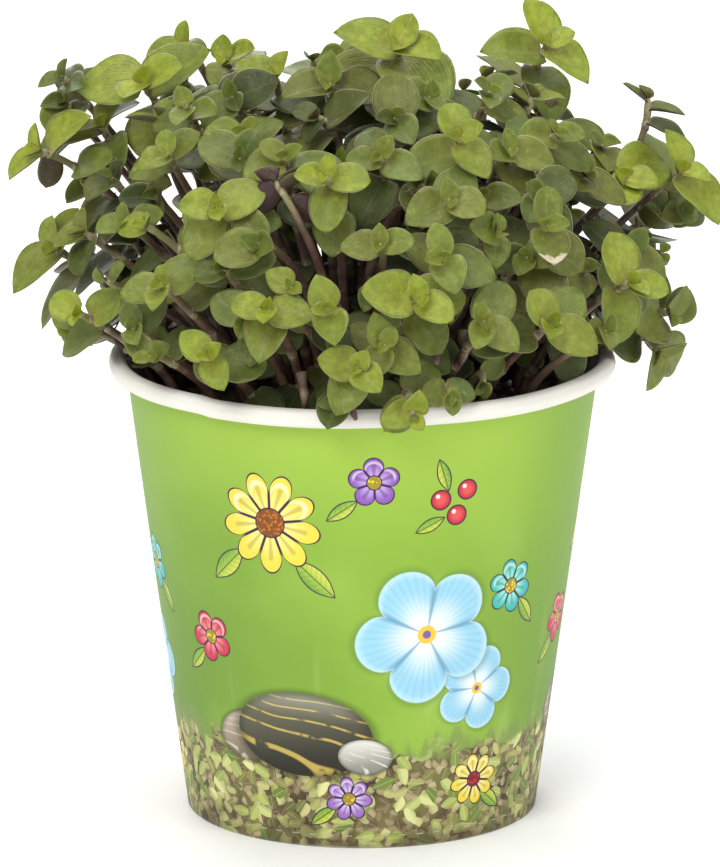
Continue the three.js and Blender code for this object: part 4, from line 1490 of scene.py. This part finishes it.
# cup print: a blurred green meadow, ground cover at the foot, and scattered flowers, three times round
printing = {
    "period": math.radians(120),
    "footRadius": 41.4,
    "widening": 0.1351,
    "litterRadius": 44,
    "outline": (0.035, 0.012, 0.05),
    # in the meadow, top is painted light under the rim and side is painted shade
    "meadow": {"low": (0.14, 0.27, 0.032), "high": (0.27, 0.45, 0.042), "blur": (0.38, 0.56, 0.1),
               "top": (0.37, 0.55, 0.065), "side": (0.13, 0.26, 0.03), "streak": (0.42, 0.55, 0.16),
               "grass": (0.2, 0.27, 0.07)},
    "ground": {"gap": (0.055, 0.035, 0.017), "clump": (0.17, 0.15, 0.05), "foot": (0.07, 0.045, 0.022)},
    "stone": {"shine": (0.5, 0.5, 0.42), "edge": (0.02, 0.015, 0.008), "shadow": (0.03, 0.03, 0.01)},
    "leaflet": {"dark": (0.16, 0.36, 0.04), "light": (0.56, 0.62, 0.08), "rib": (0.05, 0.12, 0.03)},
    "soft": {"inner": (0.86, 0.88, 0.84), "petal": (0.3, 0.58, 0.74), "cleft": (0.1, 0.24, 0.38),
             "rib": (0.16, 0.36, 0.52), "heart": (0.76, 0.52, 0.05), "eye": (0.2, 0.1, 0.32),
             "edge": (0.62, 0.8, 0.84), "shadow": (0.05, 0.1, 0.02)},
    "gleam": (0.9, 0.88, 0.8),
    "berry": {"light": (0.72, 0.09, 0.09), "dark": (0.46, 0.02, 0.04), "shine": (0.9, 0.72, 0.68)},
    "worn": {"dash": (0.55, 0.52, 0.42), "edge": (0.52, 0.5, 0.42)},
    "blossoms": [
        {"at": (-24, 80), "size": 12.5, "petals": 9, "depth": 0.42, "turn": 0.2, "line": 0.42,
         "colour": (0.80, 0.62, 0.06), "inner": (0.86, 0.74, 0.22), "heart": (0.52, 0.16, 0.02)},
        {"at": (3, 91), "size": 6.2, "petals": 5, "depth": 0.38, "turn": 0.9, "colour": (0.24, 0.09, 0.42),
         "inner": (0.46, 0.30, 0.66), "heart": (0.82, 0.62, 0.06), "line": 0.34},
        {"at": (44, 62), "size": 6.8, "petals": 6, "depth": 0.4, "turn": 0.3, "colour": (0.05, 0.44, 0.40),
         "inner": (0.28, 0.70, 0.60), "heart": (0.80, 0.62, 0.06), "line": 0.34},
        {"at": (-47, 49), "size": 6.4, "petals": 5, "depth": 0.4, "turn": 0.5, "colour": (0.55, 0.03, 0.07),
         "inner": (0.80, 0.22, 0.24), "heart": (0.82, 0.62, 0.06), "line": 0.34},
        {"at": (-4, 12.5), "size": 5.6, "petals": 7, "depth": 0.4, "turn": 0.1, "colour": (0.30, 0.13, 0.48),
         "inner": (0.62, 0.48, 0.76), "heart": (0.82, 0.62, 0.06), "line": 0.32},
        {"at": (37, 15), "size": 6.6, "petals": 8, "depth": 0.42, "turn": 0.6, "colour": (0.78, 0.60, 0.05),
         "inner": (0.86, 0.76, 0.26), "heart": (0.50, 0.03, 0.05), "line": 0.34},
    ],
    "softBlossoms": [
        {"at": (35, 38), "size": 10.5, "petals": 5, "depth": 0.34, "turn": 1.3},
        {"at": (18, 53), "size": 17, "petals": 5, "depth": 0.34, "turn": 0.45},
    ],
    "stones": [
        {"at": (-36, 26), "radii": (8.5, 6.2), "turn": 0.12, "dark": (0.17, 0.13, 0.09),
         "light": (0.42, 0.35, 0.26), "stripe": (0.62, 0.55, 0.42)},
        {"at": (-18, 28), "radii": (17, 10.4), "turn": -0.05, "dark": (0.022, 0.02, 0.013),
         "light": (0.12, 0.115, 0.075), "stripe": (0.60, 0.45, 0.10)},
        {"at": (1, 23), "radii": (6.4, 4.4), "turn": -0.1, "dark": (0.25, 0.24, 0.21),
         "light": (0.62, 0.60, 0.54), "stripe": (0.75, 0.73, 0.68)},
    ],
    "berries": [(20, 86), (24.5, 82), (27, 88)],
    "litter": [
        {"cell": 1.9, "shift": 0, "long": 0.95, "wide": 0.5, "share": 0.85,
         "dark": (0.12, 0.08, 0.04), "mid": (0.30, 0.24, 0.12), "light": (0.48, 0.40, 0.22)},
        {"cell": 2.6, "shift": 31, "long": 0.95, "wide": 0.46, "share": 0.62,
         "dark": (0.13, 0.13, 0.04), "mid": (0.37, 0.38, 0.11), "light": (0.58, 0.54, 0.24)},
        {"cell": 3.7, "shift": 67, "long": 0.85, "wide": 0.36, "share": 0.45,
         "dark": (0.14, 0.21, 0.04), "mid": (0.42, 0.48, 0.13), "light": (0.68, 0.68, 0.30)},
    ],
    "leaflets": [
        {"at": (-37.5, 68.5), "long": 6.2, "wide": 2.6, "turn": 3.9},
        {"at": (-12.5, 67), "long": 6.6, "wide": 2.7, "turn": -0.75},
        {"at": (-5, 84), "long": 4.6, "wide": 1.8, "turn": 3.75},
        {"at": (20.5, 92), "long": 4.4, "wide": 1.7, "turn": 1.9},
        {"at": (17.5, 80), "long": 4.0, "wide": 1.6, "turn": 3.6},
        {"at": (51, 55), "long": 4.8, "wide": 1.9, "turn": -0.9},
        {"at": (-54, 42.5), "long": 4.6, "wide": 1.8, "turn": 3.9},
        {"at": (44, 9.5), "long": 4.6, "wide": 1.9, "turn": -0.7},
        {"at": (-12, 8), "long": 4.2, "wide": 1.7, "turn": 3.8},
    ],
}


# one layer of scattered little leaves, one in each cell: where it covers and its colour there
def leafLayer(flat, layer):
    moved = stretched(flat, (1, 1, 1), (layer["shift"], layer["shift"] * 0.7, 0))
    cell = newNode("TexVoronoi")
    cell.voronoi_dimensions = "2D"
    fill(cell, {"Vector": moved, "Scale": 1 / layer["cell"], "Randomness": 0.9})
    apart = newNode("VectorMath")
    apart.operation = "SUBTRACT"
    fill(apart, {0: moved, 1: Value(cell.outputs["Position"])})
    px, py = axes(Value(apart.outputs[0]))[:2]
    first, second, third = axes(Value(cell.outputs["Color"]))
    angle = first * 6.283
    cosine = calc("COSINE", angle)
    sine = calc("SINE", angle)
    across = py * cosine - px * sine
    share = (px * cosine + py * sine) / (layer["cell"] * layer["long"])
    wide = layer["cell"] * layer["wide"]
    room = (1 - share * share) * wide - abs(across)
    mask = between(room, -0.05, 0.16) * calc("LESS_THAN", third, layer["share"])
    tint = blend(between(second, 0.0, 0.55), layer["dark"], layer["mid"])
    tint = blend(between(second, 0.5, 1.0), tint, layer["light"])
    tint = blend(between(across / wide, 0.1, -1.0) * 0.45, tint, layer["dark"])
    tint = blend(between(abs(across), 0.16, 0.04) * 0.35, tint, layer["light"])
    return mask, tint


def makePrintMaterial(p):
    material, shader = newMaterial("cupPrint")
    where = objectPlace()
    x, y, z = axes(where)
    turn = calc("ARCTAN2", x, y * -1)
    level = z * 1000
    around = level * p["widening"] + p["footRadius"]

    def local(at):
        apart = calc("WRAP", turn - math.radians(at[0]), p["period"] / 2, -p["period"] / 2)
        return apart * around, level - at[1]

    def turned(px, py, angle):
        a = px * math.cos(angle) + py * math.sin(angle)
        b = py * math.cos(angle) - px * math.sin(angle)
        return a, b

    def reach(px, py):
        return calc("SQRT", px * px + py * py)

    # meadow, out of focus: light lime up and darker below, with painted light on its front and back and
    # painted shade to its sides
    c = p["meadow"]
    sheet = noise(where, 14, 1)
    broad = noise(where, 30, 2)
    # painted light and shade round the cup: highest at the front and back, lowest at the sides
    wave = calc("COSINE", turn * 2)
    lift = level * 0.005 + (0.32 + wave * 0.1) + (sheet - 0.5) * 1.3
    colour = blend(between(lift, 0.1, 1.05), c["low"], c["high"])
    colour = blend(between(broad, 0.45, 0.75) * 0.3, colour, c["blur"])
    # painted light under the rim at the front and back
    top = between(level, 70, 100) * between(wave, -1.4, 0.8)
    colour = blend(top * 0.6, colour, c["top"])
    # painted shade towards the sides
    colour = blend(between(wave, 0.2, -0.9) * 0.4, colour, c["side"])
    streaks = noise(stretched(where, (120, 120, 9)), 1, 2)
    streakShare = between(streaks, 0.55, 0.75) * between(level, 62, 30)
    colour = blend(streakShare * 0.45, colour, c["streak"])

    # grass blades standing up out of the ground strip
    comb = noise(stretched(where, (260, 260, 16)), 1, 2)
    high = 17 + comb * 20
    grass = between(level - high, 1.5, -2.5)
    colour = blend(grass * 0.75, colour, c["grass"])

    # ground cover: layers of small fallen and growing leaves over brown gaps, darker at the foot
    c = p["ground"]
    edge = 24 + (noise(where, 120, 3) - 0.5) * 18
    small = cells(where, 1100)[0]
    clumps = between(noise(where, 95, 3), 0.36, 0.66)
    # laid out flat, with its joint at the cup's seam
    seamless = calc("WRAP", turn, cup["seamTurn"], cup["seamTurn"] - 2 * math.pi)
    flat = newNode("CombineXYZ", {0: seamless * p["litterRadius"], 1: level})
    litter = blend(clumps, c["gap"], c["clump"])
    for layer in p["litter"]:
        mask, tint = leafLayer(Value(flat.outputs[0]), layer)
        litter = blend(mask, litter, tint)
    foot = between(level + clumps * 7, 11, 2)
    litter = blend(foot * 0.72, litter, c["foot"])
    ground = between(level - edge, 1.6, -1.6)
    colour = blend(ground, colour, litter)

    # smooth stones with fine stripes, resting on the ground
    c = p["stone"]
    for b in p["stones"]:
        px, py = turned(*local(b["at"]), b["turn"])
        ex = px / b["radii"][0]
        ey = py / b["radii"][1]
        q = reach(ex, ey)
        bent = ey * ey + ex * 0.5
        bands = calc("SINE", bent * 9 + (ey + broad) * 16)
        shade = blend(between(ey + ex * -0.3, -0.9, 0.9), b["dark"], b["light"])
        lines = between(bands, 0.8, 0.97) * between(noise(where, 300, 2), 0.36, 0.5)
        shade = blend(lines * 0.8, shade, b["stripe"])
        shade = blend(between(ey, 0.3, 1.0) * 0.35, shade, c["shine"], "SCREEN")
        shade = blend(between(q, 0.82, 1.0) * 0.5, shade, c["edge"])
        colour = blend(between(q, 1.16, 0.98) * 0.55, colour, c["shadow"])
        colour = blend(between(q, 1.0, 0.975), colour, shade)

    # small outlined leaves beside the drawn blossoms
    c = p["leaflet"]
    for b in p["leaflets"]:
        px, py = turned(*local(b["at"]), b["turn"])
        share = px / b["long"]
        belly = 1 - share * share
        room = belly * b["wide"] - abs(py)
        tint = blend(between(py, -b["wide"], b["wide"]), c["dark"], c["light"])
        spine = between(abs(py), 0.24, 0.12)
        ribs = between(calc("SINE", px * 4.2 + abs(py) * 3), 0.8, 0.98)
        tint = blend(calc("MAXIMUM", spine, ribs * 0.5) * 0.8, tint, c["rib"])
        tint = blend(between(room, 0.36, 0.26), tint, p["outline"])
        colour = blend(between(room, -0.05, 0.05), colour, tint)

    def petals(px, py, b):
        r = reach(px, py)
        angle = calc("ARCTAN2", py, px) + b["turn"]
        lobe = abs(calc("COSINE", angle * (b["petals"] / 2)))
        rim = (1 - b["depth"] + lobe ** 0.62 * b["depth"]) * b["size"]
        return r, lobe, rim

    # big light blue blossoms, softly shaded
    c = p["soft"]
    for b in p["softBlossoms"]:
        px, py = local(b["at"])
        r, lobe, rim = petals(px, py, b)
        q = r / rim
        tint = blend(between(q, 0.1, 0.75), c["inner"], c["petal"])
        tint = blend(between(lobe, 0.32, 0.0) * 0.75, tint, c["cleft"])
        ribs = calc("SINE", calc("ARCTAN2", py, px) * 46)
        tint = blend(between(ribs, 0.2, 1.0) * 0.22, tint, c["rib"])
        tint = blend(between(r, b["size"] * 0.15, b["size"] * 0.12), tint, c["heart"])
        tint = blend(between(r, b["size"] * 0.07, b["size"] * 0.05), tint, c["eye"])
        tint = blend(between(q, 0.86, 1.0) * 0.5, tint, c["edge"])
        colour = blend(between(q, 1.14, 0.99) * 0.35, colour, c["shadow"])
        colour = blend(between(q, 1.01, 0.985), colour, tint)

    # drawn blossoms with dark outlines
    for b in p["blossoms"]:
        px, py = local(b["at"])
        r, lobe, rim = petals(px, py, b)
        q = r / rim
        tint = blend(between(q, 0.35, 0.9), b["inner"], b["colour"])
        spine = between(lobe, 0.9, 0.995) * between(q, 0.78, 0.7)
        tint = blend(spine * 0.55, tint, darker(b["colour"], 0.45))
        gleam = between(abs(q - 0.8), 0.08, 0.03) * between(py, 0, 1.5)
        tint = blend(gleam * 0.45, tint, p["gleam"])
        split = lobe / b["petals"] * r
        tint = blend(between(split, b["line"] * 0.55, b["line"] * 0.25), tint, p["outline"])
        tint = blend(between(r, b["size"] * 0.31, b["size"] * 0.29), tint, p["outline"])
        heartEdge = b["size"] * 0.3 - b["line"] * 0.8
        seeds = blend(between(small, 0.25, 0.5), b["heart"], darker(b["heart"], 0.4))
        tint = blend(between(r, heartEdge + 0.06, heartEdge - 0.06), tint, seeds)
        left = rim - r
        tint = blend(between(left, b["line"] + 0.05, b["line"] - 0.05), tint, p["outline"])
        colour = blend(between(left, -0.05, 0.05), colour, tint)

    # a spray of red berries
    c = p["berry"]
    for at in p["berries"]:
        px, py = local(at)
        r = reach(px, py)
        shine = reach(px + 0.8, py - 0.9)
        tint = blend(between(r, 0.5, 2.4), c["light"], c["dark"])
        tint = blend(between(shine, 0.65, 0.4), tint, c["shine"])
        tint = blend(between(r, 2.15, 2.25), tint, p["outline"])
        colour = blend(between(r, 2.6, 2.5), colour, tint)

    # pale dashes where the foot is crimped, and a worn lower edge
    c = p["worn"]
    dashes = between(abs(level - 3.1), 0.2, 0.1) * between(calc("SINE", turn * 62), 0.2, 0.5)
    colour = blend(dashes * (between(sheet, 0.4, 0.6) * 0.6), colour, c["dash"])
    scuff = between(level + broad * 1.2, 1.15, 0.5)
    colour = blend(scuff * 0.6, colour, c["edge"])
    film = noise(where, 900, 2)
    fill(shader, {"Base Color": colour, "Roughness": 0.46 + film * 0.12, "Specular IOR Level": 0.3})
    relief(shader, film + sheet * 2, 0.12, 0.0003)
    return material


def makeBoardMaterial(name, colour, roughness):
    material, shader = newMaterial(name)
    where = objectPlace()
    fibres = noise(stretched(where, (1, 1, 3)), 900, 4, 0.6)
    clouds = noise(where, 60, 2)
    body = blend(between(fibres, 0.3, 0.75), darker(colour, 0.96), colour)
    body = blend(between(clouds, 0.5, 0.8) * 0.3, body, darker(colour, 0.97))
    fill(shader, {"Base Color": body, "Roughness": roughness + fibres * 0.15})
    relief(shader, fibres, 0.15, 0.0002)
    return material


rimBoard = makeBoardMaterial("whiteBoard", (0.78, 0.757, 0.687), 0.45)
baseBoard = makeBoardMaterial("baseBoard", (0.74, 0.71, 0.64), 0.6)
printedCup = makeCup(cup, [makePrintMaterial(printing), rimBoard])
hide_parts("cup_wall")
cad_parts["cup_base"].material_slots[0].material = baseBoard
print("stage: cup")


# potting mix: a lumpy surface with bark chips and a few white grains
mix = {
    "radius": 54.1,
    "rings": 46,
    "sides": 150,
    "floor": 7.5,
    "wallGap": 1.2,
    "chips": 420,
    "grains": 60,
    "spread": 52,
    "dark": (0.018, 0.012, 0.008),
    "brown": (0.06, 0.042, 0.026),
    "fibre": (0.13, 0.085, 0.05),
}


def makeMixMaterial(s):
    material, shader = newMaterial("pottingMix")
    where = objectPlace()
    apart, crumbs = cells(where, 700)
    rough = noise(where, 380, 5, 0.65)
    body = blend(axes(crumbs)[0], s["dark"], s["brown"])
    body = blend(between(rough, 0.58, 0.72), body, s["fibre"])
    fill(shader, {"Base Color": body, "Roughness": 0.92})
    relief(shader, rough - apart * 0.6, 0.9, 0.0012)
    return material


def makeChipMaterial(name, dark, light):
    material, shader = newMaterial(name)
    where = objectPlace()
    grain = noise(stretched(where, (1, 3, 1)), 600, 4, 0.6)
    fill(shader, {"Base Color": blend(grain, dark, light), "Roughness": 0.85})
    relief(shader, grain, 0.6, 0.0004)
    return material


def makeMix(s):
    rng = np.random.default_rng(7)
    places = [(0, 0, soilHeight(0, 0))]
    for k in range(1, s["rings"] + 1):
        r = s["radius"] * k / s["rings"]
        for i in range(s["sides"]):
            turn = 2 * math.pi * i / s["sides"]
            px = r * math.cos(turn)
            py = r * math.sin(turn)
            lump = 0.5 * math.sin(px * 1.9 + 2 * math.sin(py * 1.1))
            lump *= math.cos(py * 2.3 + 1.4 * math.sin(px * 0.9))
            places.append((px, py, soilHeight(px, py) + lump + rng.uniform(-0.28, 0.28)))
    n = s["sides"]
    faces = [(0, 1 + i, 1 + (i + 1) % n) for i in range(n)]
    for k in range(s["rings"] - 1):
        for i in range(n):
            j = (i + 1) % n
            a = 1 + k * n
            faces.append((a + i, a + n + i, a + n + j, a + j))
    # side and underside of the plug
    outer = 1 + (s["rings"] - 1) * n
    low = len(places)
    foot = wallRadius(s["floor"]) - s["wallGap"]
    for i in range(n):
        turn = 2 * math.pi * i / n
        places.append((foot * math.cos(turn), foot * math.sin(turn), s["floor"]))
    middle = len(places)
    places.append((0, 0, s["floor"]))
    for i in range(n):
        j = (i + 1) % n
        faces.append((outer + i, low + i, low + j, outer + j))
        faces.append((middle, low + j, low + i))
    made = makePiece("pottingMix", places, faces, [makeMixMaterial(s)])
    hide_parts("soil")
    return made


# an uneven six-sided lump, flat for bark and round for the white grains
def lumpPoints(rng, size, flat):
    points = []
    for level, share in ((-1, 0.45), (-0.35, 1.0), (0.4, 0.9), (1, 0.35)):
        for i in range(6):
            turn = i * math.pi / 3 + level
            r = share * (0.8 + 0.4 * rng.random())
            points.append((r * math.cos(turn) * size, r * math.sin(turn) * size * 0.7, level * size * flat))
    return np.array(points), ringFaces(4, 6)


def makeLumps(name, count, sizes, flat, material, seed):
    rng = np.random.default_rng(seed)
    places = []
    faces = []
    for k in range(count):
        r = mix["spread"] * math.sqrt(rng.random())
        turn = rng.uniform(0, 2 * math.pi)
        px = r * math.cos(turn)
        py = r * math.sin(turn)
        size = rng.uniform(*sizes)
        points, local = lumpPoints(rng, size, flat)
        spin = Matrix.Rotation(rng.uniform(0, 6.28), 3, "Z")
        spin = spin @ Matrix.Rotation(rng.uniform(-0.5, 0.5), 3, "X")
        points = points @ np.array(spin).T + np.array([px, py, soilHeight(px, py) + size * flat * 0.35])
        faces += [tuple(i + len(places) * 24 for i in face) for face in local]
        places.append(points)
    made = makePiece(name, np.vstack(places), faces, [material])
    return made


makeMix(mix)
makeLumps("barkChips", mix["chips"], (0.9, 2.6), 0.3,
          makeChipMaterial("barkChip", (0.035, 0.02, 0.012), (0.15, 0.09, 0.05)), 11)
makeLumps("whiteGrains", mix["grains"], (0.6, 1.3), 0.8,
          makeChipMaterial("whiteGrain", (0.45, 0.43, 0.38), (0.7, 0.68, 0.62)), 12)
print("stage: potting mix")
